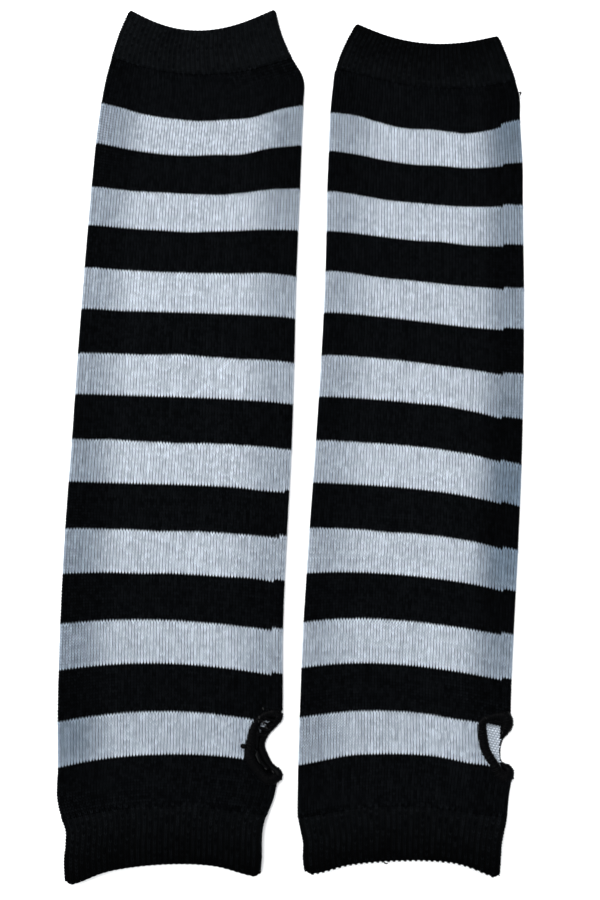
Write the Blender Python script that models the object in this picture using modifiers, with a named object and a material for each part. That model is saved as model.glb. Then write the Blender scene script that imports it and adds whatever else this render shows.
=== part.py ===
"""A pair of knitted arm warmers with thumb holes, laid flat side by side.

Metres, +Z up.  +Y runs from the hands to the upper arms and the cloth rests on z = 0.
Each warmer is a tube knitted in the round and pressed flat: front and back lie on each
other and meet in rounded folds at the two sides.  A rib welt, turned double, finishes each
open end, and an overlocked roll edges the slit that is cut in the right-hand fold for the
thumb.  The plan sizes in the tables are in millimetres from the middle of the pair.
"""
import math
from collections import namedtuple

import bmesh
import bpy
import numpy as np
from mathutils import Matrix

MM = 0.001

COLLECTION = "arm_warmers"
CUTTER_COLLECTION = "arm_warmer_cutters"

# Cloth.  The front eases down to the folds, over the last few millimetres before them.
TUBE_WALL = 0.0013
TUBE_HEIGHT = 0.0042
TUBE_EASE = 0.0009
WELT_WALL = 0.0018
WELT_HEIGHT = 0.0048
WELT_EASE = 0.0005
EASE_WIDTH = 0.009
SEAM_GAP = 0.0004

# Rib of the welts: one rib is two wales wide, raised on the outside only
RIBS_ON_TOP = 34
RIBS_ON_FOLD = 2
RIB_HEIGHT = 0.0004
WELT_FIRST_ROW = 0.005
LIP_ROUNDING = 0.0007

# Points round a section
TOP_STEPS = 14
FOLD_STEPS = 4
UNDERSIDE_STEPS = 10
INSIDE_FOLD_STEPS = RIBS_ON_FOLD
INSIDE_TOP_STEPS = RIBS_ON_TOP // 2

# Stripes: the grey ones are knitted with the same count of rows but lie a little shorter
GREY_STRIPES = 8
GREY_TO_BLACK = 0.94

# Thumb hole edging: a roll that is pressed flatter than it is wide
ROLL_RADIUS = 0.0016
ROLL_FLATNESS = 0.65
ROLL_STEPS = 44
ROLL_BEVEL_RESOLUTION = 2
EDGING_GAP = 0.0003
FRONT_ROLL_Z = 0.0034
TURN_Z = 0.0021
BACK_ROLL_Z = 0.00108
CUTTER_REACH = 0.006
CUTTER_OVERLAP = 0.0003

# Flat sections across a warmer, from the hand to the upper arm.  along is where the
# section crosses the middle of the warmer, and the rises say how far the same row of
# stitches lies above or below that at the two folds and halfway out to them.
Section = namedtuple("Section", "name along left_x left_rise left_mid right_mid right_rise right_x")

LEFT_SECTIONS = (
    Section("hand edge", -178.4, -92.0, -6.6, -1.7, -0.8, -4.4, -16.0),
    Section("hand welt middle", -165.0, -92.6, -6.2, -1.6, -1.0, -4.2, -14.9),
    Section("hand welt seam", -157.0, -94.0, -5.6, -1.5, -1.0, -3.6, -12.9),
    Section("stripes end", -137.0, -96.4, -5.4, -1.3, -0.9, -4.8, -8.0),
    Section("stripe 8", -120.6, -97.0, -4.2, -0.9, -1.6, -5.4, -7.3),
    Section("stripe 7", -84.7, -97.6, -1.4, 0.2, -1.7, -4.6, -7.0),
    Section("stripe 6", -48.4, -97.1, 1.0, 0.6, -1.2, -3.4, -5.6),
    Section("stripe 5", -11.4, -95.3, 1.7, 0.6, -1.0, -3.1, -4.2),
    Section("stripe 4", 25.8, -94.2, 1.6, 0.8, -1.0, -2.7, -3.0),
    Section("stripe 3", 62.6, -92.9, 2.9, 0.9, -0.4, -1.2, -2.1),
    Section("stripe 2", 98.4, -90.9, 4.4, 1.1, 1.0, 3.6, -0.4),
    Section("stripe 1 end", 116.0, -89.6, 6.9, 1.8, 1.7, 6.4, 0.6),
    Section("stripe 1", 132.9, -87.9, 9.0, 2.3, 1.9, 7.8, 1.3),
    Section("upper arm", 145.0, -86.5, 9.0, 2.3, 2.0, 8.2, 1.0),
    Section("upper welt seam", 153.0, -84.6, 9.0, 2.3, 2.1, 8.6, -3.0),
    Section("upper welt middle", 165.0, -81.4, 9.1, 2.3, 2.2, 9.0, -8.4),
    Section("upper edge", 176.0, -76.8, 9.2, 2.3, 2.3, 9.2, -11.0),
)

RIGHT_SECTIONS = (
    Section("hand edge", -177.2, 2.6, -4.5, -1.3, -0.7, -5.4, 77.4),
    Section("hand welt middle", -167.0, 1.0, -4.7, -1.3, -1.2, -5.2, 78.9),
    Section("hand welt seam", -157.0, -0.9, -4.8, -1.2, -1.7, -4.4, 81.4),
    Section("stripes end", -137.0, -0.7, -4.5, -0.8, -2.1, -6.4, 84.3),
    Section("stripe 8", -120.6, -0.1, -2.3, 0.2, -2.6, -7.0, 84.9),
    Section("stripe 7", -85.0, 1.5, -0.4, 1.1, -2.7, -6.4, 86.0),
    Section("stripe 6", -49.4, 4.1, 2.4, 1.6, -2.9, -7.7, 89.3),
    Section("stripe 5", -13.3, 6.9, 3.1, 1.8, -3.2, -8.5, 92.1),
    Section("stripe 4", 22.4, 9.6, 3.8, 2.4, -2.9, -5.4, 94.4),
    Section("stripe 3", 58.3, 11.2, 5.1, 2.7, -2.1, -2.5, 95.9),
    Section("stripe 2", 93.9, 11.8, 6.0, 2.8, -1.3, 0.0, 97.0),
    Section("stripe 1 end", 111.3, 12.8, 7.9, 3.3, -0.9, 2.4, 97.6),
    Section("stripe 1", 128.0, 13.6, 9.0, 4.0, -0.7, 4.2, 97.6),
    Section("upper arm", 139.0, 14.6, 9.1, 4.0, -0.5, 4.0, 97.7),
    Section("upper welt seam", 147.0, 16.0, 9.1, 3.8, -0.2, 3.4, 95.8),
    Section("upper welt middle", 158.0, 19.8, 9.0, 3.5, 0.1, 3.6, 92.7),
    Section("upper edge", 169.6, 25.0, 9.0, 3.2, 0.3, 3.4, 89.2),
)

# Route of the edging, looking down: over the front of the slit, round the lower end of
# the slit and back along its rear.  width is the roll's width as a share of the whole.
RoutePoint = namedtuple("RoutePoint", "x y height width")

LEFT_ROUTE = (
    RoutePoint(-10.3, -121.4, FRONT_ROLL_Z, 1.0),
    RoutePoint(-13.6, -123.8, FRONT_ROLL_Z, 1.0),
    RoutePoint(-17.0, -128.0, FRONT_ROLL_Z, 1.0),
    RoutePoint(-19.1, -134.2, FRONT_ROLL_Z, 1.0),
    RoutePoint(-17.6, -140.6, FRONT_ROLL_Z, 1.0),
    RoutePoint(-14.2, -144.8, FRONT_ROLL_Z, 1.0),
    RoutePoint(-10.7, -146.9, FRONT_ROLL_Z, 1.0),
    RoutePoint(-8.3, -145.3, TURN_Z, 1.0),
    RoutePoint(-9.8, -142.6, BACK_ROLL_Z, 1.0),
    RoutePoint(-13.6, -138.9, BACK_ROLL_Z, 1.0),
    RoutePoint(-15.7, -134.2, BACK_ROLL_Z, 1.0),
    RoutePoint(-13.8, -129.4, BACK_ROLL_Z, 1.0),
    RoutePoint(-10.0, -125.8, BACK_ROLL_Z, 1.0),
    RoutePoint(-8.3, -123.2, TURN_Z, 1.0),
)

RIGHT_ROUTE = (
    RoutePoint(80.6, -123.6, FRONT_ROLL_Z, 1.0),
    RoutePoint(76.2, -124.0, FRONT_ROLL_Z, 1.0),
    RoutePoint(73.4, -126.4, FRONT_ROLL_Z, 1.0),
    RoutePoint(72.8, -131.2, FRONT_ROLL_Z, 1.0),
    RoutePoint(73.9, -136.6, FRONT_ROLL_Z, 1.0),
    RoutePoint(76.6, -141.6, FRONT_ROLL_Z, 1.0),
    RoutePoint(80.2, -145.6, FRONT_ROLL_Z, 1.0),
    RoutePoint(83.4, -146.0, TURN_Z, 1.0),
    RoutePoint(82.8, -142.4, BACK_ROLL_Z, 0.8),
    RoutePoint(80.6, -137.6, BACK_ROLL_Z, 0.55),
    RoutePoint(80.2, -132.6, BACK_ROLL_Z, 0.55),
    RoutePoint(81.6, -128.8, BACK_ROLL_Z, 0.8),
    RoutePoint(83.6, -125.4, TURN_Z, 1.0),
)

# The slit's front runs through the first points of the route and its rear through the rest.
FRONT_POINTS = 7

Warmer = namedtuple("Warmer", "side sections route")
WARMERS = (
    Warmer("left", LEFT_SECTIONS, LEFT_ROUTE),
    Warmer("right", RIGHT_SECTIONS, RIGHT_ROUTE),
)

BLACK = (0.012, 0.013, 0.015, 1.0)
SILVER_GREY = (0.44, 0.47, 0.52, 1.0)
EDGING_BLACK = (0.010, 0.010, 0.011, 1.0)


def clear_scene():
    for thing in list(bpy.data.objects):
        bpy.data.objects.remove(thing, do_unlink=True)


def new_collection(name):
    collection = bpy.data.collections.new(name)
    bpy.context.scene.collection.children.link(collection)
    return collection


def cloth_material(name, colour, roughness):
    material = bpy.data.materials.new(name)
    material.use_nodes = True
    shader = material.node_tree.nodes["Principled BSDF"]
    shader.inputs["Base Color"].default_value = colour
    shader.inputs["Roughness"].default_value = roughness
    shader.inputs["Metallic"].default_value = 0.0
    return material


def smooth_value(knots, values, at):
    """Cubic through the knots, with each knot's slope taken across its neighbours."""
    slopes = np.gradient(values, knots)
    low = int(np.clip(np.searchsorted(knots, at) - 1, 0, len(knots) - 2))
    span = knots[low + 1] - knots[low]
    t = (at - knots[low]) / span
    start = (1 + 2 * t) * (1 - t) ** 2 * values[low] + t * (1 - t) ** 2 * span * slopes[low]
    end = t * t * (3 - 2 * t) * values[low + 1] + t * t * (t - 1) * span * slopes[low + 1]
    return float(start + end)


def section_at(sections, along):
    """The section at a distance along the warmer, in millimetres."""
    knots = np.array([row.along for row in sections])
    values = {}
    for column in Section._fields[2:]:
        column_values = np.array([getattr(row, column) for row in sections])
        values[column] = smooth_value(knots, column_values, along)
    return Section(name="", along=along, **values)


def course_height(section, across):
    """Height of the row of stitches at a share of the way across, 0 at the left fold."""
    rises = (section.left_rise, section.left_mid, 0.0, section.right_mid, section.right_rise)
    places = [i / (len(rises) - 1) for i in range(len(rises))]
    total = 0.0
    for i, rise in enumerate(rises):
        weight = 1.0
        for j, place in enumerate(places):
            if j != i:
                weight *= (across - place) / (places[i] - place)
        total += weight * rise
    return section.along + total


def even_shares(steps):
    return [i / steps for i in range(steps)]


def shares_close_at_folds(steps):
    return [(1 - math.cos(math.pi * i / steps)) / 2 for i in range(steps)]


def eased_height(section, x, height, ease):
    """Height of the front at x, in metres, lower where it nears a fold."""
    to_fold = min(x - section.left_x * MM, section.right_x * MM - x)
    near = min(max(1.0 - to_fold / EASE_WIDTH, 0.0), 1.0)
    return height - ease * near * near


def fold_points(first_around, centre_x, centre_z, radius, start_degrees, steps, rib):
    """Points of a half circle, turning from a start angle through the fold."""
    points = []
    for i in range(steps):
        out = radius + rib * (i % 2)
        turn = math.radians(start_degrees - 180.0 * i / steps)
        x = centre_x + out * math.cos(turn)
        z = centre_z + out * math.sin(turn)
        points.append((first_around + i / steps, x, z))
    return points


def flat_loop(section, inset, height, ease, top_shares, fold_steps, rib=0.0):
    """Points round a flattened section: over the top from the left fold, then back below.

    Returns pairs of how far round the point is, 0 to 4, and its place in metres.  rib
    moves every other point of the top and the folds outwards, which raises the ribs.
    """
    left = section.left_x * MM + inset
    right = section.right_x * MM - inset
    middle = (height - ease) / 2
    radius = middle - inset
    width = right - left - 2 * radius
    points = []
    for count, share in enumerate(top_shares):
        x = left + radius + width * share
        raised = rib * (count % 2)
        points.append((share, x, eased_height(section, x, height, ease) - inset + raised))
    points += fold_points(1, right - radius, middle, radius, 90.0, fold_steps, rib)
    for i in range(UNDERSIDE_STEPS):
        share = i / UNDERSIDE_STEPS
        points.append((2 + share, right - radius - width * share, inset))
    points += fold_points(3, left + radius, middle, radius, -90.0, fold_steps, rib)
    loop = []
    for around, x, z in points:
        across = (x / MM - section.left_x) / (section.right_x - section.left_x)
        loop.append((around, (x, course_height(section, across) * MM, z)))
    return loop


def skin(mesh, lower, upper):
    """Triangles between two closed rows of points that may differ in number.

    Returns the faces.  Each row is a list of pairs of how far round a vertex is, and the vertex.
    """
    faces = []
    i = j = 0
    while i < len(lower) or j < len(upper):
        next_low = lower[i + 1][0] if i + 1 < len(lower) else 4.0
        next_up = upper[j + 1][0] if j + 1 < len(upper) else 4.0
        here_low = lower[i % len(lower)][1]
        here_up = upper[j % len(upper)][1]
        if j == len(upper) or (i < len(lower) and next_low <= next_up):
            i += 1
            faces.append(mesh.faces.new((here_low, lower[i % len(lower)][1], here_up)))
        else:
            j += 1
            faces.append(mesh.faces.new((here_low, upper[j % len(upper)][1], here_up)))
    return faces


def add_row(mesh, loop):
    return [(around, mesh.verts.new(place)) for around, place in loop]


def mesh_object(name, mesh, collection, parent, materials):
    """A named object from a bmesh, which is freed."""
    data = bpy.data.meshes.new(name)
    mesh.to_mesh(data)
    mesh.free()
    for material in materials:
        data.materials.append(material)
    data.shade_smooth()
    data.set_sharp_from_angle(angle=math.radians(50))
    thing = bpy.data.objects.new(name, data)
    thing.parent = parent
    collection.objects.link(thing)
    return thing


def welt(name, sections, seam, edge, collection, parent, material):
    """A double-turned rib welt between its seam and its open edge, both places along."""
    toward_edge = 1.0 if edge > seam else -1.0
    from_seam = (SEAM_GAP / 2 / MM, WELT_FIRST_ROW / MM)
    places = [seam + toward_edge * distance for distance in from_seam]
    places += [(seam + edge) / 2, edge - toward_edge * LIP_ROUNDING / MM, edge]
    rib_points = even_shares(2 * RIBS_ON_TOP)
    rib_fold_steps = 2 * RIBS_ON_FOLD
    inside_points = even_shares(INSIDE_TOP_STEPS)
    mesh = bmesh.new()
    outside = []
    inside = []
    for place in places:
        section = section_at(sections, place)
        drawn_in = LIP_ROUNDING if place == edge else 0.0
        wall = WELT_WALL - drawn_in / 2
        outer = flat_loop(section, drawn_in, WELT_HEIGHT, WELT_EASE, rib_points, rib_fold_steps, RIB_HEIGHT)
        inner = flat_loop(section, wall, WELT_HEIGHT, WELT_EASE, inside_points, INSIDE_FOLD_STEPS)
        outside.append(add_row(mesh, outer))
        inside.append(add_row(mesh, inner))
    for rows in (outside, inside):
        for low, high in zip(rows, rows[1:]):
            skin(mesh, low, high)
    skin(mesh, outside[0], inside[0])
    skin(mesh, outside[-1], inside[-1])
    bmesh.ops.recalc_face_normals(mesh, faces=mesh.faces)
    return mesh_object(name, mesh, collection, parent, [material])


def tube_places(sections):
    """Where the tube's rows of points cross its middle, from the hand to the upper arm."""
    by_name = {row.name: row.along for row in sections}
    start = by_name["hand welt seam"] + SEAM_GAP / 2 / MM
    finish = by_name["upper welt seam"] - SEAM_GAP / 2 / MM
    last = by_name["stripes end"]
    black = (by_name["stripe 1"] - last) / (GREY_STRIPES * GREY_TO_BLACK + GREY_STRIPES - 1)
    grey = black * GREY_TO_BLACK
    stripe_edges = []
    for stripe in range(GREY_STRIPES):
        foot = last + stripe * (grey + black)
        stripe_edges += [foot, foot + grey]
    return [start, (start + last) / 2] + stripe_edges + [by_name["upper arm"], finish]


def striped_tube(name, sections, collection, parent, black, grey):
    """The knitted tube: an open surface row by row, given its thickness inwards."""
    top_points = shares_close_at_folds(TOP_STEPS)
    mesh = bmesh.new()
    rows = []
    for place in tube_places(sections):
        section = section_at(sections, place)
        rows.append(add_row(mesh, flat_loop(section, 0.0, TUBE_HEIGHT, TUBE_EASE, top_points, FOLD_STEPS)))
    first_grey = 2
    grey_bands = range(first_grey, first_grey + 2 * GREY_STRIPES, 2)
    for band, (low, high) in enumerate(zip(rows, rows[1:])):
        for face in skin(mesh, low, high):
            face.material_index = 1 if band in grey_bands else 0
    thing = mesh_object(name, mesh, collection, parent, [black, grey])
    wall = thing.modifiers.new("wall", "SOLIDIFY")
    wall.thickness = TUBE_WALL
    wall.offset = -1.0
    wall.use_even_offset = True
    return thing


def closed_curve_points(route, steps):
    """Points evenly spaced in parameter on a smooth closed curve through the route."""
    rows = np.array([(p.x * MM, p.y * MM, p.height, p.width) for p in route])
    count = len(rows)
    points = []
    for k in range(steps):
        place = k * count / steps
        i = int(place)
        t = place - i
        before, start, end, after = (rows[(i + shift) % count] for shift in (-1, 0, 1, 2))
        bend = 2 * before - 5 * start + 4 * end - after
        twist = 3 * start - before - 3 * end + after
        points.append(0.5 * (2 * start + (end - before) * t + bend * t * t + twist * t ** 3))
    return points


def curve_to_mesh_object(curve_object, name, collection, parent, matrix):
    """A mesh object from a curve, with its doubles merged, in place of the curve."""
    bpy.context.view_layer.update()
    evaluated = curve_object.evaluated_get(bpy.context.evaluated_depsgraph_get())
    data = bpy.data.meshes.new_from_object(evaluated)
    data.transform(matrix)
    bpy.data.objects.remove(curve_object, do_unlink=True)
    mesh = bmesh.new()
    mesh.from_mesh(data)
    bmesh.ops.remove_doubles(mesh, verts=mesh.verts, dist=0.00001)
    bmesh.ops.recalc_face_normals(mesh, faces=mesh.faces)
    return mesh_object(name, mesh, collection, parent, [])


def roll(name, route, radius, collection, parent):
    """A closed roll along the route, pressed to an oval that is wider than it is high."""
    curve = bpy.data.curves.new(name, "CURVE")
    curve.dimensions = "3D"
    curve.bevel_depth = radius
    curve.bevel_resolution = ROLL_BEVEL_RESOLUTION
    spline = curve.splines.new("POLY")
    points = closed_curve_points(route, ROLL_STEPS)
    spline.points.add(len(points) - 1)
    for point, (x, y, z, width) in zip(spline.points, points):
        point.co = (x, y, z / ROLL_FLATNESS, 1.0)
        point.radius = (width * ROLL_RADIUS + radius - ROLL_RADIUS) / radius
    spline.use_cyclic_u = True
    thing = bpy.data.objects.new(name + "_route", curve)
    collection.objects.link(thing)
    return curve_to_mesh_object(thing, name, collection, parent, Matrix.Diagonal((1, 1, ROLL_FLATNESS, 1)))


def slit_cutter(name, route, low, high, collection, parent):
    """A flat plate between a side of the slit and the outside of the fold."""
    upper_turn, lower_turn = route[0], route[-1]
    reach = upper_turn.x * MM + CUTTER_REACH
    top = upper_turn.y * MM + ROLL_RADIUS
    bottom = lower_turn.y * MM - ROLL_RADIUS
    outline = [(upper_turn.x * MM, top)]
    outline += [(p.x * MM, p.y * MM) for p in route[1:-1]]
    outline += [(lower_turn.x * MM, bottom), (reach, bottom), (reach, top)]
    curve = bpy.data.curves.new(name, "CURVE")
    curve.dimensions = "2D"
    curve.fill_mode = "BOTH"
    curve.extrude = (high - low) / 2
    spline = curve.splines.new("POLY")
    spline.points.add(len(outline) - 1)
    for point, (x, y) in zip(spline.points, outline):
        point.co = (x, y, 0.0, 1.0)
    spline.use_cyclic_u = True
    thing = bpy.data.objects.new(name + "_outline", curve)
    collection.objects.link(thing)
    lift = Matrix.Translation((0, 0, (high + low) / 2))
    return curve_to_mesh_object(thing, name, collection, parent, lift)


def cut(target, cutter):
    cutter.hide_render = True
    cutter.display_type = "WIRE"
    modifier = target.modifiers.new(cutter.name, "BOOLEAN")
    modifier.operation = "DIFFERENCE"
    modifier.solver = "EXACT"
    modifier.object = cutter


def cut_thumb_hole(tube, warmer, cutters, parent):
    """Cuts the slit through the front and back of the fold, and room for its edging."""
    middle = (TUBE_HEIGHT - TUBE_EASE) / 2
    front_from = middle - CUTTER_OVERLAP
    back_to = middle + CUTTER_OVERLAP
    route = warmer.route
    upper_turn = route[-1]
    lower_turn = route[FRONT_POINTS]
    front = (upper_turn,) + route[:FRONT_POINTS] + (lower_turn,)
    back = (upper_turn,) + tuple(reversed(route[FRONT_POINTS + 1:-1])) + (lower_turn,)
    cut(tube, slit_cutter(warmer.side + "_front_slit", front, front_from, 2 * TUBE_HEIGHT, cutters, parent))
    cut(tube, slit_cutter(warmer.side + "_back_slit", back, -TUBE_HEIGHT, back_to, cutters, parent))
    cut(tube, roll(warmer.side + "_edging_room", route, ROLL_RADIUS + EDGING_GAP, cutters, parent))


def plan_centre():
    """Middle of the pair's plan, so that the part's origin lies under it."""
    xs = []
    ys = []
    for warmer in WARMERS:
        low = warmer.sections[0].along
        high = warmer.sections[-1].along
        for along in np.linspace(low, high, 200):
            section = section_at(warmer.sections, along)
            xs += [section.left_x * MM, section.right_x * MM]
            ys += [course_height(section, 0.0) * MM, course_height(section, 1.0) * MM]
    return ((min(xs) + max(xs)) / 2, (min(ys) + max(ys)) / 2)


def build_warmer(warmer, parts, cutters, parent, black, grey, edging_black):
    by_name = {row.name: row.along for row in warmer.sections}
    welt(warmer.side + "_upper_welt", warmer.sections, by_name["upper welt seam"], by_name["upper edge"],
         parts, parent, black)
    tube = striped_tube(warmer.side + "_striped_tube", warmer.sections, parts, parent, black, grey)
    welt(warmer.side + "_hand_welt", warmer.sections, by_name["hand welt seam"], by_name["hand edge"],
         parts, parent, black)
    cut_thumb_hole(tube, warmer, cutters, parent)
    edging = roll(warmer.side + "_thumb_edging", warmer.route, ROLL_RADIUS, parts, parent)
    edging.data.materials.append(edging_black)


def main():
    clear_scene()
    parts = new_collection(COLLECTION)
    cutters = new_collection(CUTTER_COLLECTION)
    black = cloth_material("black_knit", BLACK, 0.9)
    grey = cloth_material("silver_grey_knit", SILVER_GREY, 0.85)
    edging_black = cloth_material("edging_thread", EDGING_BLACK, 0.55)
    root = bpy.data.objects.new("pair", None)
    centre_x, centre_y = plan_centre()
    root.location = (-centre_x, -centre_y, 0.0)
    parts.objects.link(root)
    for warmer in WARMERS:
        build_warmer(warmer, parts, cutters, root, black, grey, edging_black)


main()
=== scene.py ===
"""Dresses a pair of knitted arm warmers that lie flat, side by side.

Metres, +Z up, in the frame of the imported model: +Y runs from the hands to the upper arms
and the cloth rests on z = 0.  Tables of places are in millimetres, from the middle of the
pair.  Each warmer is a striped tube with thousands of knit stitches on a thin shell, a rib
welt at each open end, and a thumb slit edged with overlocked thread.
"""

import logging
import math
from collections.abc import Callable, Sequence
from dataclasses import astuple, dataclass, field, fields
from enum import Enum

import bmesh
import bpy
import numpy as np
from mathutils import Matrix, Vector

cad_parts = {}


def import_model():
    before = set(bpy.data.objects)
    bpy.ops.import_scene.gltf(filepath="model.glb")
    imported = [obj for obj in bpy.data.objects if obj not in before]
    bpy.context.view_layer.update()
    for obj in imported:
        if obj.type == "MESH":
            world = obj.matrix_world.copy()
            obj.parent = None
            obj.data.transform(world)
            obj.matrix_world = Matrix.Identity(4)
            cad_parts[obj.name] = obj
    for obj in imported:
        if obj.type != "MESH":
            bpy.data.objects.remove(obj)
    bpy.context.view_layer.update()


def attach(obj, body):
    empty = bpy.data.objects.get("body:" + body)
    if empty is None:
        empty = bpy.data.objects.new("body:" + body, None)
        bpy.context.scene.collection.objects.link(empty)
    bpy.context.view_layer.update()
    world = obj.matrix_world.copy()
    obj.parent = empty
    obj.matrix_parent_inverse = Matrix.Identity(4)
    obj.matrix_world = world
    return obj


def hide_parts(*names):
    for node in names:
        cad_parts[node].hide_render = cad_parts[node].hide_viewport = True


MM = 0.001
BODY = "root"
LOG = logging.getLogger("arm_warmers")

# Fineness of the yarn's fuzz, and the looper thread's sides and how it thins on a narrow roll.
FUZZ_SCALE = 2600.0
THREAD_SIDES = 5
THREAD_THINNING = 0.6
LEAST_LENGTH = 1e-12

Colour = tuple[float, float, float, float]
Place = tuple[float, float, float]
Socket = bpy.types.NodeSocket


class Side(Enum):
    """Which of the two warmers, as seen from above with the hands at the bottom."""

    LEFT = "left"
    RIGHT = "right"


class Yarn(Enum):
    """Colour that a course is knitted in."""

    BLACK = "black"
    SILVER = "silver"


class Arc(Enum):
    """The four stretches round a flattened tube, in order, each one unit long."""

    FRONT = 0
    RIGHT_FOLD = 1
    UNDERSIDE = 2
    LEFT_FOLD = 3


class Slot(Enum):
    """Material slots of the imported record."""

    STRIPED = "striped_knit"
    RIB = "black_rib_knit"
    EDGING = "edging_thread"


@dataclass(frozen=True)
class Section:
    """A flat section across a warmer, in millimetres.

    along is where it crosses the middle of the warmer, and the rises say how far the same
    course of stitches lies above or below that at the two folds and halfway out to them.
    """

    name: str
    along: float
    left_x: float
    left_rise: float
    left_mid: float
    right_mid: float
    right_rise: float
    right_x: float


@dataclass(frozen=True)
class Stripe:
    """A silver stripe: where its two edges cross the middle of the warmer, in millimetres."""

    foot: float
    top: float


@dataclass(frozen=True)
class RoutePoint:
    """A point of the thumb edging: plan in millimetres, height in metres, share of full width."""

    x: float
    y: float
    height: float
    width: float = 1.0


@dataclass(frozen=True)
class Crease:
    """A soft ridge, or a trough if rise is below zero, in millimetres and degrees from +X."""

    x: float
    y: float
    heading: float
    length: float
    width: float
    rise: float


@dataclass(frozen=True)
class PaintedShade:
    """Painted shade: how much the yarn's colour is darkened by the two folds and in the middle, at a place
    along, in millimetres.
    """

    along: float
    left: float
    middle: float
    right: float


@dataclass(frozen=True)
class Jog:
    """The wale of the front at which the stripes step up by a course, at a place along."""

    along: float
    wale: float


@dataclass(frozen=True)
class Wave:
    """A small local rise of the courses round a place, in millimetres."""

    x: float
    along: float
    rise: float


@dataclass(frozen=True)
class Strand:
    """A loose bit of thread or yarn, or a pale bit that is a painted highlight: its ends and its middle in
    millimetres, and its radius.
    """

    name: str
    start: Place
    middle: Place
    end: Place
    radius: float

    @property
    def yarn(self) -> Yarn:
        """Silver if its name starts so, and else black thread."""
        return Yarn.SILVER if self.name.startswith(Yarn.SILVER.value) else Yarn.BLACK


# Columns of a section's numbers that hold its left and its right fold.
LEFT_X = 0
RIGHT_X = 5

# Heights of the edging's middle line: on the front, where it turns, and on the back.
FRONT_ROLL = 0.0034
TURN = 0.0021
BACK_ROLL = 0.00108

LEFT_SECTIONS = (
    Section("hand edge", -178.7, -91.2, -7.2, -2.1, -0.4, -4.8, -15.2),
    Section("hand welt lower", -171.0, -92.3, -6.5, -1.7, -0.9, -4.3, -14.6),
    Section("hand welt middle", -165.0, -91.9, -6.2, -1.6, -1.0, -4.2, -14.6),
    Section("hand welt waist", -160.0, -92.2, -5.8, -1.5, -1.0, -3.9, -14.0),
    Section("hand welt seam", -157.0, -93.5, -5.6, -1.5, -1.0, -3.6, -12.9),
    Section("stripes hem", -151.0, -95.5, -5.5, -1.4, -1.0, -4.0, -10.7),
    Section("stripes end", -137.0, -96.1, -5.4, -1.3, -0.9, -4.8, -8.2),
    Section("stripe 8", -120.6, -96.9, -4.2, -0.9, -1.6, -5.4, -7.2),
    Section("stripe 7", -84.7, -97.4, -1.4, 0.2, -1.7, -4.6, -7.0),
    Section("stripe 6", -48.4, -96.9, 1.0, 0.6, -1.2, -3.4, -5.5),
    Section("stripe 5", -11.4, -95.5, 1.7, 0.6, -1.0, -3.1, -3.6),
    Section("stripe 4", 25.8, -94.4, 1.6, 0.8, -1.0, -2.7, -2.5),
    Section("stripe 3", 62.6, -92.9, 2.9, 0.9, -0.4, -1.2, -1.6),
    Section("stripe 2", 98.4, -91.1, 4.4, 1.1, 1.0, 3.6, 0.0),
    Section("stripe 1 end", 116.0, -89.9, 6.9, 1.8, 1.7, 6.4, 0.7),
    Section("stripe 1", 132.9, -88.0, 9.0, 2.3, 1.9, 7.8, 1.4),
    Section("upper arm", 145.0, -86.1, 9.0, 2.3, 2.0, 8.2, 1.2),
    Section("upper welt seam", 153.0, -84.3, 9.0, 2.3, 2.1, 8.6, -3.2),
    Section("upper welt middle", 165.0, -81.0, 9.4, 2.3, 2.5, 9.3, -8.2),
    Section("upper edge", 174.4, -76.9, 10.9, 2.4, 3.3, 11.1, -10.8),
)

RIGHT_SECTIONS = (
    Section("hand edge", -177.2, 1.7, -5.0, -1.3, -0.7, -7.1, 77.7),
    Section("hand welt lower", -171.5, 0.8, -4.9, -1.3, -0.9, -5.8, 78.5),
    Section("hand welt middle", -167.0, 0.9, -4.7, -1.3, -1.2, -5.2, 79.0),
    Section("hand welt seam", -157.0, -0.9, -4.8, -1.2, -1.7, -4.4, 81.4),
    Section("stripes hem", -149.0, -0.9, -4.7, -1.0, -1.9, -5.2, 82.4),
    Section("stripes end", -137.0, -0.7, -4.5, -0.8, -2.1, -6.4, 84.3),
    Section("stripe 8", -120.6, -0.1, -2.3, 0.2, -2.6, -7.0, 84.2),
    Section("stripe 7", -85.0, 1.5, -0.4, 1.1, -2.7, -6.4, 86.6),
    Section("stripe 6", -49.4, 4.1, 2.4, 1.6, -2.9, -7.7, 89.6),
    Section("stripe 5", -13.3, 6.8, 3.1, 1.8, -3.2, -8.5, 92.4),
    Section("stripe 4", 22.4, 9.2, 3.8, 2.4, -2.9, -5.4, 94.7),
    Section("stripe 3", 58.3, 11.1, 5.1, 2.7, -2.1, -2.5, 96.3),
    Section("stripe 2", 93.9, 12.0, 6.0, 2.8, -1.3, 0.0, 97.2),
    Section("stripe 1 end", 111.3, 12.8, 7.9, 3.3, -0.9, 2.4, 97.8),
    Section("stripe 1", 128.0, 13.6, 9.0, 4.0, -0.7, 4.2, 97.4),
    Section("upper arm", 139.0, 14.7, 9.1, 4.0, -0.5, 4.0, 97.6),
    Section("upper welt seam", 147.0, 15.7, 9.1, 3.8, -0.2, 3.4, 96.1),
    Section("upper welt middle", 158.0, 19.5, 9.3, 3.4, 0.2, 3.7, 92.8),
    Section("upper edge", 168.1, 24.9, 10.4, 3.1, 0.5, 4.2, 89.2),
)

LEFT_STRIPES = (
    Stripe(-137.3, -120.8),
    Stripe(-102.3, -85.2),
    Stripe(-66.5, -49.0),
    Stripe(-30.1, -12.4),
    Stripe(6.8, 24.5),
    Stripe(43.5, 61.2),
    Stripe(79.9, 96.7),
    Stripe(114.5, 131.1),
)

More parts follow.
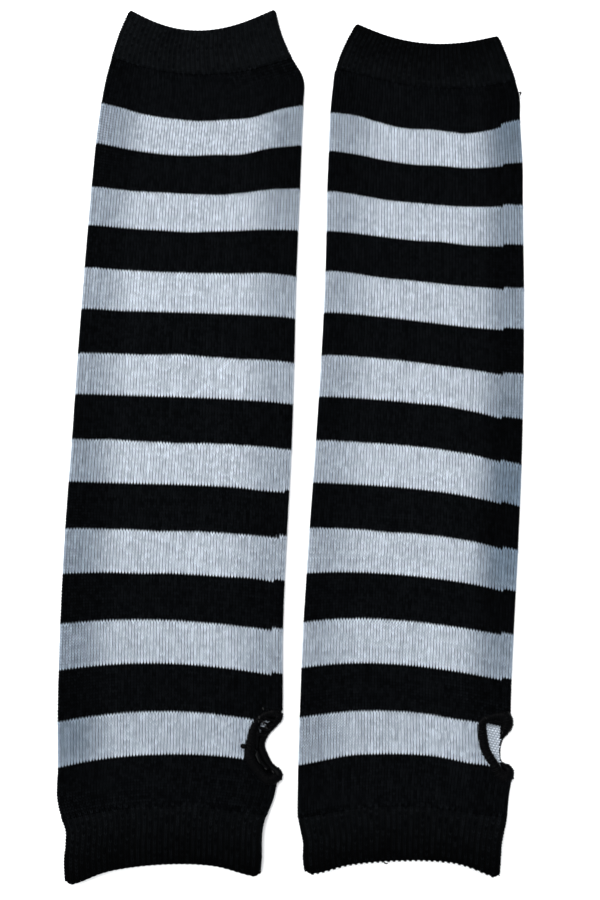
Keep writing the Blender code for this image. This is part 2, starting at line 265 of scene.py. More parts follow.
RIGHT_STRIPES = (
    Stripe(-137.2, -120.9),
    Stripe(-102.9, -85.5),
    Stripe(-67.4, -50.1),
    Stripe(-31.9, -14.3),
    Stripe(3.9, 21.4),
    Stripe(39.5, 57.0),
    Stripe(75.1, 92.3),
    Stripe(109.8, 126.5),
)

# Painted shade along each warmer: how much the yarn's colour is darkened by the left fold, across the
# middle and by the right fold.
LEFT_PAINTED_SHADES = (
    PaintedShade(-160.0, 0.35, 0.14, 0.34),
    PaintedShade(-129.0, 0.66, 0.22, 0.44),
    PaintedShade(-94.0, 0.52, 0.11, 0.36),
    PaintedShade(-57.0, 0.52, 0.04, 0.31),
    PaintedShade(-20.0, 0.46, 0.00, 0.31),
    PaintedShade(17.0, 0.36, 0.00, 0.30),
    PaintedShade(54.0, 0.35, 0.00, 0.33),
    PaintedShade(89.0, 0.39, 0.02, 0.36),
    PaintedShade(125.0, 0.46, 0.04, 0.44),
)

RIGHT_PAINTED_SHADES = (
    PaintedShade(-160.0, 0.30, 0.14, 0.42),
    PaintedShade(-129.0, 0.42, 0.18, 0.42),
    PaintedShade(-94.0, 0.31, 0.10, 0.54),
    PaintedShade(-57.0, 0.32, 0.05, 0.74),
    PaintedShade(-20.0, 0.32, 0.04, 0.74),
    PaintedShade(17.0, 0.31, 0.05, 0.56),
    PaintedShade(54.0, 0.32, 0.06, 0.52),
    PaintedShade(89.0, 0.33, 0.10, 0.56),
    PaintedShade(125.0, 0.40, 0.12, 0.72),
)

LEFT_JOGS = (
    Jog(-157.0, 66.0),
    Jog(-45.0, 67.2),
    Jog(-20.0, 70.0),
    Jog(153.0, 75.0),
)

RIGHT_JOGS = (
    Jog(-157.0, 64.5),
    Jog(-94.0, 64.0),
    Jog(-57.0, 62.8),
    Jog(-20.0, 61.0),
    Jog(147.0, 61.0),
)

LEFT_WAVES = (
    Wave(-78.0, 131.0, 0.50),
    Wave(-44.0, 131.0, -0.45),
    Wave(-24.0, 131.0, -0.50),
    Wave(-8.0, 131.0, 0.60),
    Wave(-38.0, 114.0, 0.45),
    Wave(-26.0, 114.0, -0.50),
    Wave(-14.0, 114.0, 0.55),
    Wave(-1.0, 114.0, -0.60),
    Wave(-60.0, 97.0, 0.40),
    Wave(-34.0, 97.0, -0.55),
    Wave(-13.0, 97.0, 0.45),
    Wave(-48.0, 80.0, -0.40),
    Wave(-18.0, 78.0, 0.30),
    Wave(-15.0, 61.0, 0.55),
    Wave(-76.0, 43.0, -0.30),
    Wave(-50.0, 24.5, 0.55),
    Wave(-25.0, 20.0, -0.35),
    Wave(-78.0, -12.0, 0.50),
    Wave(-50.0, -12.0, -0.40),
    Wave(-15.0, -30.0, -0.50),
    Wave(-58.0, -49.0, -0.55),
    Wave(-66.0, -66.0, -0.40),
    Wave(-20.0, -66.0, 0.50),
    Wave(-86.5, -180.0, -1.40),
    Wave(-22.0, -180.0, -0.90),
)

RIGHT_WAVES = (
    Wave(26.0, 126.5, 0.60),
    Wave(44.0, 126.0, -0.70),
    Wave(61.0, 126.5, 0.45),
    Wave(73.0, 126.5, -0.70),
    Wave(93.0, 126.5, 0.55),
    Wave(27.0, 110.0, 0.40),
    Wave(62.0, 109.0, 0.75),
    Wave(97.0, 108.0, -1.10),
    Wave(15.0, 92.0, 0.50),
    Wave(40.0, 92.0, -0.40),
    Wave(96.0, 90.0, -0.90),
    Wave(61.0, 75.0, 0.70),
    Wave(96.0, 72.0, -0.50),
    Wave(15.0, 57.0, 0.40),
    Wave(36.0, 57.0, -0.35),
    Wave(92.0, 56.0, -0.90),
    Wave(86.0, 21.0, -0.60),
    Wave(60.0, 4.0, 0.45),
    Wave(85.0, 3.0, -0.90),
    Wave(84.0, -14.0, -0.45),
    Wave(36.0, -50.0, -0.50),
    Wave(84.0, -52.0, -0.70),
    Wave(84.0, -74.0, -0.80),
    Wave(60.0, -120.9, -0.50),
    Wave(66.0, -137.2, -0.70),
    Wave(20.0, -137.2, 0.40),
    Wave(8.0, -180.0, -1.20),
    Wave(72.0, -180.0, -0.80),
)

# Routes of the thumb edgings: over the front of the slit, round its lower end and back
# along its rear, near to those of the part and swollen where the thread is thickest.
LEFT_ROUTE = (
    RoutePoint(-10.3, -121.4, FRONT_ROLL, 1.1),
    RoutePoint(-14.4, -122.4, FRONT_ROLL, 1.0),
    RoutePoint(-17.8, -125.8, FRONT_ROLL, 1.15),
    RoutePoint(-19.5, -132.0, FRONT_ROLL, 1.35),
    RoutePoint(-19.8, -138.6, FRONT_ROLL, 1.45),
    RoutePoint(-15.6, -144.6, FRONT_ROLL, 1.2),
    RoutePoint(-12.5, -147.0, FRONT_ROLL, 1.3),
    RoutePoint(-9.0, -145.5, TURN, 1.4),
    RoutePoint(-11.9, -142.4, BACK_ROLL, 0.9),
    RoutePoint(-14.4, -138.3, BACK_ROLL, 1.05),
    RoutePoint(-15.7, -134.2, BACK_ROLL),
    RoutePoint(-13.9, -129.4, BACK_ROLL),
    RoutePoint(-10.2, -125.6, BACK_ROLL),
    RoutePoint(-8.7, -123.0, TURN, 1.2),
)

RIGHT_ROUTE = (
    RoutePoint(81.4, -122.9, FRONT_ROLL, 1.5),
    RoutePoint(76.4, -123.1, FRONT_ROLL, 1.0),
    RoutePoint(72.4, -125.1, FRONT_ROLL, 1.15),
    RoutePoint(72.3, -129.8, FRONT_ROLL, 1.3),
    RoutePoint(73.4, -135.8, FRONT_ROLL, 1.25),
    RoutePoint(76.5, -141.2, FRONT_ROLL, 1.25),
    RoutePoint(79.3, -145.4, FRONT_ROLL, 1.3),
    RoutePoint(82.2, -146.3, TURN, 1.4),
    RoutePoint(82.4, -143.6, TURN, 1.3),
    RoutePoint(79.9, -140.8, BACK_ROLL, 0.3),
    RoutePoint(79.6, -136.4, BACK_ROLL, 0.15),
    RoutePoint(80.4, -132.0, BACK_ROLL, 0.4),
    RoutePoint(81.9, -128.6, BACK_ROLL, 1.15),
    RoutePoint(82.7, -125.8, TURN, 1.6),
)

FRONT_POINTS = 7

LEFT_CREASES = (
    Crease(-72.0, 138.0, 82.0, 34.0, 5.0, -0.35),
    Crease(-46.0, 141.0, 95.0, 40.0, 6.0, 0.30),
    Crease(-22.0, 139.0, 104.0, 30.0, 4.5, -0.30),
    Crease(-60.0, 92.0, 12.0, 60.0, 9.0, 0.28),
    Crease(-30.0, 55.0, 160.0, 48.0, 7.0, -0.28),
    Crease(-74.0, 12.0, 30.0, 44.0, 7.0, 0.25),
    Crease(-34.0, -30.0, 8.0, 52.0, 8.0, 0.25),
    Crease(-66.0, -74.0, 155.0, 46.0, 7.0, -0.25),
    Crease(-31.0, -118.0, 128.0, 26.0, 4.0, 0.40),
    Crease(-34.0, -137.0, 178.0, 26.0, 3.6, -0.35),
    Crease(-56.0, -146.0, 88.0, 24.0, 5.0, 0.25),
)

RIGHT_CREASES = (
    Crease(34.0, 132.0, 74.0, 34.0, 5.0, -0.35),
    Crease(57.0, 134.0, 88.0, 40.0, 6.0, 0.32),
    Crease(82.0, 131.0, 97.0, 28.0, 4.5, -0.35),
    Crease(44.0, 84.0, 168.0, 56.0, 8.0, 0.28),
    Crease(74.0, 44.0, 20.0, 50.0, 7.0, -0.25),
    Crease(34.0, 8.0, 150.0, 42.0, 7.0, 0.25),
    Crease(62.0, -38.0, 5.0, 54.0, 8.0, -0.22),
    Crease(28.0, -80.0, 32.0, 44.0, 7.0, 0.25),
    Crease(62.0, -116.0, 140.0, 26.0, 4.0, 0.40),
    Crease(58.0, -134.0, 176.0, 28.0, 3.6, -0.35),
    Crease(38.0, -145.0, 92.0, 22.0, 5.0, 0.25),
)

LEFT_STRANDS = (
    Strand("slit_crossing_1", (-16.6, -123.6, 4.4), (-13.6, -125.4, 4.2), (-10.2, -126.2, 2.3), 0.42),
    Strand("slit_crossing_2", (-17.0, -126.4, 4.5), (-14.2, -127.6, 3.9), (-11.6, -127.4, 2.2), 0.62),
    Strand("slit_crossing_3", (-17.4, -128.6, 4.4), (-15.6, -129.8, 3.7), (-13.2, -129.6, 2.2), 0.75),
    Strand("slit_crossing_4", (-14.4, -122.8, 4.5), (-12.0, -124.0, 4.0), (-9.4, -124.2, 2.8), 0.45),
    Strand("looper_thread", (-16.4, -127.4, 3.4), (-17.2, -131.8, 3.2), (-17.2, -136.4, 2.9), 0.75),
    Strand("looper_thread_end", (-17.3, -135.0, 2.7), (-15.4, -140.6, 2.8), (-11.8, -143.4, 2.7), 0.80),
    Strand("edge_stitch", (-23.4, -134.0, 4.2), (-22.4, -134.1, 4.6), (-21.2, -134.3, 4.3), 0.95),
    # Pale silver bits along the left slit's front roll: silver_end_3 and silver_end_4 are grey cloth
    # showing between the threads, and the others are painted highlights, pale bits put where the glossy
    # thread glints.
    Strand("silver_end_1", (-14.9, -119.3, 4.3), (-14.7, -119.7, 4.6), (-14.4, -120.2, 4.3), 0.28),
    Strand("silver_end_2", (-16.4, -122.6, 4.6), (-16.2, -123.0, 5.0), (-16.1, -123.6, 4.6), 0.30),
    Strand("silver_end_3", (-16.6, -124.3, 4.6), (-16.4, -124.6, 5.0), (-16.4, -125.0, 4.6), 0.22),
    Strand("silver_end_4", (-15.4, -124.6, 3.8), (-14.6, -125.0, 4.7), (-14.5, -126.2, 4.4), 0.36),
    Strand("silver_end_5", (-13.9, -126.4, 4.2), (-13.4, -126.9, 4.4), (-13.0, -127.6, 3.9), 0.22),
    Strand("silver_end_6", (-17.3, -136.6, 3.8), (-16.9, -138.6, 4.0), (-15.7, -141.0, 3.7), 0.20),
    Strand("silver_end_7", (-14.0, -142.4, 3.6), (-13.6, -142.8, 3.9), (-13.1, -143.1, 3.6), 0.20),
    Strand("silver_end_8", (-11.1, -143.7, 3.4), (-10.7, -144.0, 3.8), (-10.4, -144.6, 3.4), 0.20),
)

RIGHT_STRANDS = (
    Strand("slit_crossing_1", (74.4, -124.4, 4.4), (78.0, -125.8, 3.4), (81.4, -125.6, 2.4), 0.42),
    Strand("slit_crossing_2", (75.0, -124.8, 4.2), (78.4, -125.0, 3.8), (82.2, -126.8, 2.4), 0.40),
    Strand("slit_crossing_3", (76.8, -124.2, 4.4), (79.6, -124.6, 4.2), (82.6, -124.4, 3.4), 0.42),
    Strand("silver_end_1", (73.4, -122.9, 4.5), (73.8, -123.3, 4.8), (74.2, -123.9, 4.4), 0.10),
    Strand("silver_end_2", (80.1, -128.4, 2.6), (80.5, -128.9, 3.0), (80.7, -129.7, 2.4), 0.13),
    Strand("seam_knot_upper", (97.0, 144.8, 2.6), (98.2, 145.3, 2.4), (97.6, 143.9, 1.9), 0.34),
    Strand("seam_knot_lower", (80.4, -158.8, 2.4), (81.3, -159.4, 2.1), (80.5, -160.4, 1.8), 0.34),
    Strand("edge_tail", (32.0, -176.4, 2.6), (33.0, -178.2, 2.9), (34.4, -178.5, 2.2), 0.24),
)


@dataclass(frozen=True)
class Pattern:
    """Everything that tells one warmer from the other."""

    side: Side
    sections: tuple[Section, ...]
    stripes: tuple[Stripe, ...]
    route: tuple[RoutePoint, ...]
    creases: tuple[Crease, ...]
    shades: tuple[PaintedShade, ...]
    jogs: tuple[Jog, ...]
    waves: tuple[Wave, ...]
    strands: tuple[Strand, ...]
    wales: int
    seed: int

    def along(self, name: str) -> float:
        """Where the named section crosses the middle of the warmer, in millimetres."""
        return next(row.along for row in self.sections if row.name == name)

    def name(self, piece: str) -> str:
        """Name of one of this warmer's pieces."""
        return f"{self.side.value}_{piece}"


PATTERNS = (
    Pattern(Side.LEFT, LEFT_SECTIONS, LEFT_STRIPES, LEFT_ROUTE, LEFT_CREASES, LEFT_PAINTED_SHADES, LEFT_JOGS,
            LEFT_WAVES, LEFT_STRANDS, wales=69, seed=11),
    Pattern(Side.RIGHT, RIGHT_SECTIONS, RIGHT_STRIPES, RIGHT_ROUTE, RIGHT_CREASES, RIGHT_PAINTED_SHADES, RIGHT_JOGS,
            RIGHT_WAVES, RIGHT_STRANDS, wales=67, seed=29),
)


class TreeBuilder:
    """Adds nodes and links to a shader or geometry tree."""

    def __init__(self, tree: bpy.types.NodeTree) -> None:
        """Keeps the tree that the nodes go in."""
        self.tree = tree

    def feed(self, node: bpy.types.Node, feeds: dict) -> None:
        """Gives each named or numbered input of a node a socket or a plain value.

        Args:
            node: The node.
            feeds: What each input gets, by name or index.
        """
        for key, value in feeds.items():
            if isinstance(value, Socket):
                self.tree.links.new(value, node.inputs[key])
            else:
                node.inputs[key].default_value = value

    def add(self, kind: str, feeds: dict | None = None, **settings: object) -> bpy.types.Node:
        """Adds a node.

        Args:
            kind: The node's type.
            feeds: What each input gets, by name or index: a socket, or a plain value.
            settings: Properties of the node.

        Returns:
            The new node.
        """
        node = self.tree.nodes.new(kind)
        for name, value in settings.items():
            setattr(node, name, value)
        self.feed(node, feeds or {})
        return node

    def maths(self, operation: str, *values: object) -> Socket:
        """The result of a Math node on up to three sockets or numbers."""
        return self.add("ShaderNodeMath", dict(enumerate(values)), operation=operation).outputs[0]

    def sine(self, value: Socket, half_turns: float) -> Socket:
        """The sine of a number of half turns, times a value."""
        return self.maths("SINE", self.maths("MULTIPLY", value, half_turns * math.pi))

    def vector_maths(self, operation: str, *values: object) -> Socket:
        """The vector result of a Vector Math node on two sockets or vectors."""
        return self.add("ShaderNodeVectorMath", dict(enumerate(values)), operation=operation).outputs[0]

    def scaled(self, vector: Socket, factor: Socket) -> Socket:
        """A vector or a colour times a number."""
        return self.add("ShaderNodeVectorMath", {0: vector, "Scale": factor}, operation="SCALE").outputs[0]

    def even_vector(self, value: Socket) -> Socket:
        """A vector with the same number three times."""
        return self.add("ShaderNodeCombineXYZ", {0: value, 1: value, 2: value}).outputs[0]

    def mix(self, factor: object, first: object, second: object, blend: str = "MIX") -> Socket:
        """The colour between two colours, each a socket or four numbers."""
        feeds = {0: factor, 6: first, 7: second}
        return self.add("ShaderNodeMix", feeds, data_type="RGBA", blend_type=blend).outputs[2]

    def attribute(self, name: str) -> Socket:
        """The number that a mesh carries under a name."""
        return self.add("ShaderNodeAttribute", attribute_name=name).outputs["Fac"]

    def noise(self, places: Socket, scale: float, detail: float = 3.0) -> Socket:
        """Cloudy noise from 0 to 1."""
        feeds = {"Vector": places, "Scale": scale, "Detail": detail}
        return self.add("ShaderNodeTexNoise", feeds).outputs["Fac"]

    def bump(self, height: Socket, strength: float, depth: float) -> Socket:
        """The normal of a surface on which a height stands out."""
        feeds = {"Height": height, "Strength": strength, "Distance": depth}
        return self.add("ShaderNodeBump", feeds).outputs["Normal"]

    def finish(self, geometry: Socket, material: Socket) -> None:
        """Makes instances real, gives them a material and sends them to a geometry tree's output."""
        real = self.add("GeometryNodeRealizeInstances", {"Geometry": geometry})
        dressed = self.add("GeometryNodeSetMaterial", {"Geometry": real.outputs[0], "Material": material})
        self.add("NodeGroupOutput", {"Geometry": dressed.outputs[0]})


def principled(name: str) -> tuple[bpy.types.Material, TreeBuilder, bpy.types.Node]:
    """A new material with a Principled shader.

    Args:
        name: The material's name.

    Returns:
        The material, a builder on its tree, and the shader node.
    """
    material = bpy.data.materials.new(name)
    material.use_nodes = True
    return material, TreeBuilder(material.node_tree), material.node_tree.nodes["Principled BSDF"]


@dataclass(frozen=True)
class YarnFinish:
    """Twisted yarn of the stitches, with small differences from stitch to stitch.

    Attribute tone is each stitch's own random tone, and side is its painted shade: how much its colour is
    darkened towards the painted shade colour near a fold and on the welts.
    """

    name: str
    low: Colour
    high: Colour
    folded: Colour
    roughness: float
    specular: float
    sheen: float
    sheen_roughness: float = 0.6
    tip_shade: float = 0.4
    mottle_scale: float = 60.0
    mottle_shade: float = 0.2
    fuzz_shade: float = 0.24
    fuzz_height: float = 0.6
    twist_scale: float = 2.4
    twist_distortion: float = 1.2
    bump: float = 0.5
    bump_depth: float = 0.00008

    def material(self) -> bpy.types.Material:
        """Builds the yarn's material.

        Returns:
            The material.
        """
        material, build, shader = principled(self.name)
        places = build.add("ShaderNodeTexCoord").outputs
        mottle = build.noise(places["Object"], self.mottle_scale, 1.0)
        fuzz = build.noise(places["Object"], FUZZ_SCALE)
        shade = build.maths("MULTIPLY_ADD", mottle, self.mottle_shade, -self.mottle_shade / 2)
        shade = build.maths("ADD", build.attribute("tone"), shade)
        shade = build.maths("SUBTRACT", shade, self.fuzz_shade / 2)
        shade = build.maths("MULTIPLY_ADD", fuzz, self.fuzz_shade, shade)
        colour = build.mix(shade, self.low, self.high)
        # Painted shade: the colour is darkened and tinted towards the painted shade colour as far as
        # attribute side says.
        colour = build.mix(build.attribute("side"), colour, self.folded, "MULTIPLY")
        # Painted shade: each leg's colour darkens towards its two tips, where it passes under its
        # neighbours.
        along_leg = build.add("ShaderNodeSeparateXYZ", {"Vector": places["UV"]}).outputs[1]
        from_crest = build.maths("MULTIPLY_ADD", along_leg, 2.0, -1.0)
        tip_shade_factor = build.maths("MULTIPLY", build.maths("MULTIPLY", from_crest, from_crest), -self.tip_shade)
        twist = build.add("ShaderNodeTexWave", {
            "Vector": places["UV"], "Scale": self.twist_scale, "Distortion": self.twist_distortion,
        }, bands_direction="DIAGONAL")
        height = build.maths("MULTIPLY_ADD", fuzz, self.fuzz_height, twist.outputs["Fac"])
        build.feed(shader, {
            "Base Color": build.scaled(colour, build.maths("ADD", tip_shade_factor, 1.0)),
            "Normal": build.bump(height, self.bump, self.bump_depth),
            "Roughness": self.roughness,
            "Specular IOR Level": self.specular,
            "Sheen Weight": self.sheen,
            "Sheen Roughness": self.sheen_roughness,
        })
        return material


@dataclass(frozen=True)
class BedFinish:
    """The knitted cloth itself, with its stitches as relief in the material.

    The UV map counts wales and courses.  Attribute bedded is 1 under the modelled stitches,
    where the cloth is only seen in the gaps and its colour gets painted shade, and inside is 1 on
    the purl side.  The colour also gets painted shade in the hollows of the relief and, by
    attribute side, by the folds and on the welts.
    """

    name: str
    black: Colour
    silver: Colour
    first_silver: float
    stripe: float = 16.0
    stripes: int = 8
    roughness: float = 0.95
    specular: float = 0.02
    leg_slope: float = 1.1
    leg_swell: float = 0.6
    purl_swell: float = 0.2
    relief_shade: float = 0.5
    bedded_shade: float = 0.6
    mottle_scale: float = 75.0
    noise_shade: float = 0.3
    fuzz_height: float = 0.25
    bump: float = 0.8
    bump_depth: float = 0.00025

    def relief(self, build: TreeBuilder, wale: Socket, course: Socket, leg_place: Socket) -> Socket:
        """Height of the stitches, plain on the outside and purl on the inside.

        Args:
            build: The builder.
            wale: Wales counted.
            course: Courses counted.
            leg_place: Courses counted along the slanted legs.

        Returns:
            The height, from 0 to 1.
        """
        off_centre = self.off_centre(build, wale)
        width = build.maths("POWER", build.sine(off_centre, 2.0), 0.5)
        swell = build.sine(build.maths("FRACT", leg_place), 1.0)
        swell = build.maths("MULTIPLY_ADD", swell, self.leg_swell, 1.0 - self.leg_swell)
        plain = build.maths("MULTIPLY", width, swell)
        loop = build.sine(build.maths("FRACT", build.maths("MULTIPLY", course, 2.0)), 1.0)
        curve = build.sine(build.maths("ADD", wale, course), 2.0)
        curve = build.maths("MULTIPLY_ADD", curve, self.purl_swell, 1.0 - self.purl_swell)
        purl = build.maths("MULTIPLY", loop, curve)
        feeds = {0: build.attribute("inside"), 2: plain, 3: purl}
        return build.add("ShaderNodeMix", feeds, data_type="FLOAT").outputs[0]

    def off_centre(self, build: TreeBuilder, wale: Socket) -> Socket:
        """How far a place lies from the middle of its wale."""
        return build.maths("ABSOLUTE", build.maths("SUBTRACT", build.maths("FRACT", wale), 0.5))

    def is_silver(self, build: TreeBuilder, leg_place: Socket) -> Socket:
        """1 in the silver stripes and 0 in the black ones.

        Args:
            build: The builder.
            leg_place: Courses counted along the slanted legs.

        Returns:
            The share of silver.
        """
        since_first = build.maths("SUBTRACT", build.maths("FLOOR", leg_place), self.first_silver)
        phase = build.maths("DIVIDE", build.maths("ADD", since_first, 0.5), 2.0 * self.stripe)
        past_first = build.maths("GREATER_THAN", since_first, -0.5)
        before_last = build.maths("LESS_THAN", since_first, (2 * self.stripes - 1) * self.stripe - 0.5)
        among = build.maths("MULTIPLY", past_first, before_last)
        early = build.maths("LESS_THAN", build.maths("FRACT", phase), 0.5)
        return build.maths("MULTIPLY", early, among)

    def material(self) -> bpy.types.Material:
        """Builds the cloth's material.

        Returns:
            The material.
        """
        material, build, shader = principled(self.name)
        places = build.add("ShaderNodeTexCoord").outputs
        wale, course = build.add("ShaderNodeSeparateXYZ", {"Vector": places["UV"]}).outputs[:2]
        slanted = build.maths("MULTIPLY", self.off_centre(build, wale), self.leg_slope)
        leg_place = build.maths("SUBTRACT", course, slanted)
        relief = self.relief(build, wale, course, leg_place)
        mottle = build.noise(places["Object"], self.mottle_scale)
        fuzz = build.noise(places["Object"], FUZZ_SCALE)
        colour = build.mix(self.is_silver(build, leg_place), self.black, self.silver)
        # The colour is multiplied by painted shade in the relief's hollows, under the modelled stitches and
        # by attribute side, and by random mottle and fuzz.
        painted_shade_and_mottle = 1.0
        for cause, gain, least in (
                (relief, self.relief_shade, 1.0 - self.relief_shade),
                (build.attribute("bedded"), -self.bedded_shade, 1.0),
                (mottle, self.noise_shade, 1.0 - self.noise_shade / 2),
                (fuzz, self.noise_shade, 1.0 - self.noise_shade / 2),
                (build.attribute("side"), -1.0, 1.0)):
            painted_shade_and_mottle = build.maths("MULTIPLY", painted_shade_and_mottle, build.maths("MULTIPLY_ADD", cause, gain, least))
        height = build.maths("MULTIPLY_ADD", fuzz, self.fuzz_height, relief)
        build.feed(shader, {
            "Base Color": build.scaled(colour, painted_shade_and_mottle),
            "Normal": build.bump(height, self.bump, self.bump_depth),
            "Roughness": self.roughness,
            "Specular IOR Level": self.specular,
        })
        return material


@dataclass(frozen=True)
class ThreadFinish:
    """Smooth, slightly glossy sewing thread."""

    name: str
    colour: Colour
    roughness: float = 0.3
    specular: float = 0.02
    fibre_scale: float = 1800.0
    fibre_shade: float = 0.5
    bump: float = 0.4
    bump_depth: float = 0.0001

    def material(self) -> bpy.types.Material:
        """Builds the thread's material.

        Returns:
            The material.
        """
        material, build, shader = principled(self.name)
        fibre = build.noise(build.add("ShaderNodeTexCoord").outputs["Object"], self.fibre_scale)
        darker = tuple(self.fibre_shade * part for part in self.colour[:3]) + (1.0,)
        build.feed(shader, {
            "Base Color": build.mix(fibre, darker, self.colour),
            "Normal": build.bump(fibre, self.bump, self.bump_depth),
            "Roughness": self.roughness,
            "Specular IOR Level": self.specular,
        })
        return material


@dataclass(frozen=True)
class Cloth:
    """A cloth that lies double: its wall, its height over the floor and its ease at the folds."""

    wall: float
    height: float
    ease: float
    ease_width: float = 0.009


class FlatForm:
    """Maps a place on the flattened tube of a warmer to a point in space."""

    RISE_PLACES = (0.0, 0.25, 0.5, 0.75, 1.0)
    CREASE_FADE = 0.007
    WAVE_WIDTH = 7.5
    WAVE_LENGTH = 9.0

    def __init__(self, pattern: Pattern, cloth: Cloth) -> None:
        """Reads the sections' columns.

        Args:
            pattern: The warmer.
            cloth: The cloth's thickness and height.
        """
        self.pattern = pattern
        self.cloth = cloth
        self.half = (cloth.height - cloth.ease) / 2
        self.fold_height = float(self.front_height(np.array([self.half]))[0]) / 2
        self.knots = np.array([row.along for row in pattern.sections])
        self.values = np.array([astuple(row)[2:] for row in pattern.sections])
        self.slopes = np.gradient(self.values, self.knots, axis=0)

    def front_height(self, from_fold: np.ndarray) -> np.ndarray:
        """Height of the front at a distance from the nearer fold, in metres."""
        near = np.clip(1.0 - from_fold / self.cloth.ease_width, 0.0, 1.0)
        return self.cloth.height - self.cloth.ease * near * near

    def columns(self, along: np.ndarray) -> np.ndarray:
        """The sections' columns at places along the warmer, on a cubic through the rows.

        Args:
            along: Places along the middle, in millimetres.

        Returns:
            An array with a row for each place and the six columns of Section.
        """
        low = np.clip(np.searchsorted(self.knots, along) - 1, 0, len(self.knots) - 2)
        span = (self.knots[low + 1] - self.knots[low])[:, None]
        t = ((along - self.knots[low]) / span[:, 0])[:, None]
        start = (1 + 2 * t) * (1 - t) ** 2 * self.values[low] + t * (1 - t) ** 2 * span * self.slopes[low]
        end = t * t * (3 - 2 * t) * self.values[low + 1] + t * t * (t - 1) * span * self.slopes[low + 1]
        return start + end

    def relief(self, x: np.ndarray, y: np.ndarray, from_fold: np.ndarray) -> np.ndarray:
        """Height that the creases add to the front, in metres.

        Args:
            x: Places across, in metres.
            y: Places along, in metres.
            from_fold: Distances from the nearer fold, in metres.

        Returns:
            A height for each place.
        """
        total = np.zeros_like(x)
        for crease in self.pattern.creases:
            heading = math.radians(crease.heading)
            from_x = x / MM - crease.x
            from_y = y / MM - crease.y
            lengthwise = (from_x * math.cos(heading) + from_y * math.sin(heading)) / (crease.length / 2)
            crosswise = (from_y * math.cos(heading) - from_x * math.sin(heading)) / crease.width
            total += crease.rise * MM * np.exp(-crosswise ** 2 - lengthwise ** 2)
        fade = np.clip(from_fold / self.CREASE_FADE, 0.0, 1.0)
        return total * fade * fade * (3 - 2 * fade)

    def place(self, along: np.ndarray, around: np.ndarray, lift: np.ndarray) -> np.ndarray:
        """Points on the cloth.

        Args:
            along: Where the course crosses the middle of the warmer, in millimetres.
            around: Place round the section, from 0 to 4, in the order of Arc.
            lift: How far outside the cloth's outer face, in metres.

        Returns:
            An array of points in metres, one a row.
        """
        columns = self.columns(along)
        left, right = columns[:, LEFT_X] * MM, columns[:, RIGHT_X] * MM
        arc = np.floor(around).astype(int) % 4
        share = around - np.floor(around)
        width = right - left - 2 * self.half
        out = (self.half + lift) * np.sin(np.pi * share)
        choices = [arc == Arc.FRONT.value, arc == Arc.RIGHT_FOLD.value, arc == Arc.UNDERSIDE.value]
        x = np.select(choices, [left + self.half + width * share, right - self.half + out,
                                right - self.half - width * share], left + self.half - out)
        across = np.clip((x - left) / (right - left), 0.0, 1.0)
        y = (along + self.course_rise(columns, across) + self.wave_rise(x / MM, along)) * MM
        from_fold = np.minimum(x - left, right - x)
        up = (self.fold_height + lift) * np.cos(np.pi * share)
        front = self.front_height(from_fold) + self.relief(x, y, from_fold) + lift
        z = np.select(choices, [front, self.fold_height + up, -lift], self.fold_height - up)
        return np.stack([x, y, z], axis=1)

    def wave_rise(self, x: np.ndarray, along: np.ndarray) -> np.ndarray:
        """How far the local waves shift a course, in millimetres.

        Args:
            x: Places across, in millimetres.
            along: Places along the middle, in millimetres.

        Returns:
            A shift for each place.
        """
        total = np.zeros_like(x)
        for wave in self.pattern.waves:
            crosswise = (x - wave.x) / self.WAVE_WIDTH
            lengthwise = (along - wave.along) / self.WAVE_LENGTH
            total += wave.rise * np.exp(-crosswise ** 2 - lengthwise ** 2)
        return total

    def course_rise(self, columns: np.ndarray, across: np.ndarray) -> np.ndarray:
        """How far a course lies above its middle at shares of the way across, in millimetres.

        Args:
            columns: The sections' columns at each place.
            across: Shares of the way across.

        Returns:
            A rise for each place.
        """
        left, left_mid, right_mid, right = columns[:, LEFT_X + 1:RIGHT_X].T
        total = np.zeros(len(across))
        for i, rise in enumerate((left, left_mid, 0.0, right_mid, right)):
            weight = np.ones(len(across))
            for place in self.RISE_PLACES[:i] + self.RISE_PLACES[i + 1:]:
                weight *= (across - place) / (self.RISE_PLACES[i] - place)
            total += weight * rise
        return total


Surface = Callable[[np.ndarray, np.ndarray, np.ndarray], np.ndarray]


@dataclass
class StitchBed:
    """Points that stitches are laid on, with the directions and sizes that each one needs."""

    points: np.ndarray
    wale: np.ndarray
    normal_out: np.ndarray
    span: np.ndarray
    tone: np.ndarray
    # side is painted shade: how much the stitch's colour is darkened, by the folds on the tube and towards
    # the open edge on a welt.
    side: np.ndarray

    def chosen(self, keep: np.ndarray) -> "StitchBed":
        """The rows that a mask keeps."""
        return StitchBed(*(getattr(self, column.name)[keep] for column in fields(self)))

    def to_object(self, name: str) -> bpy.types.Object:
        """A mesh of loose points with an attribute for each other column.

        Args:
            name: The object's name.

        Returns:
            The object, linked to the scene.
        """
        mesh = bpy.data.meshes.new(name)
        mesh.from_pydata(self.points.tolist(), [], [])
        for column in fields(self)[1:]:
            values = np.ascontiguousarray(getattr(self, column.name), np.float32)
            kind, key = ("FLOAT", "value") if values.ndim == 1 else ("FLOAT_VECTOR", "vector")
            mesh.attributes.new(column.name, kind, "POINT").data.foreach_set(key, values.ravel())
        return linked(name, mesh)


def linked(name: str, data: bpy.types.ID) -> bpy.types.Object:
    """A new object with the mesh, curve, light or camera, in the scene."""
    thing = bpy.data.objects.new(name, data)
    bpy.context.scene.collection.objects.link(thing)
    return thing


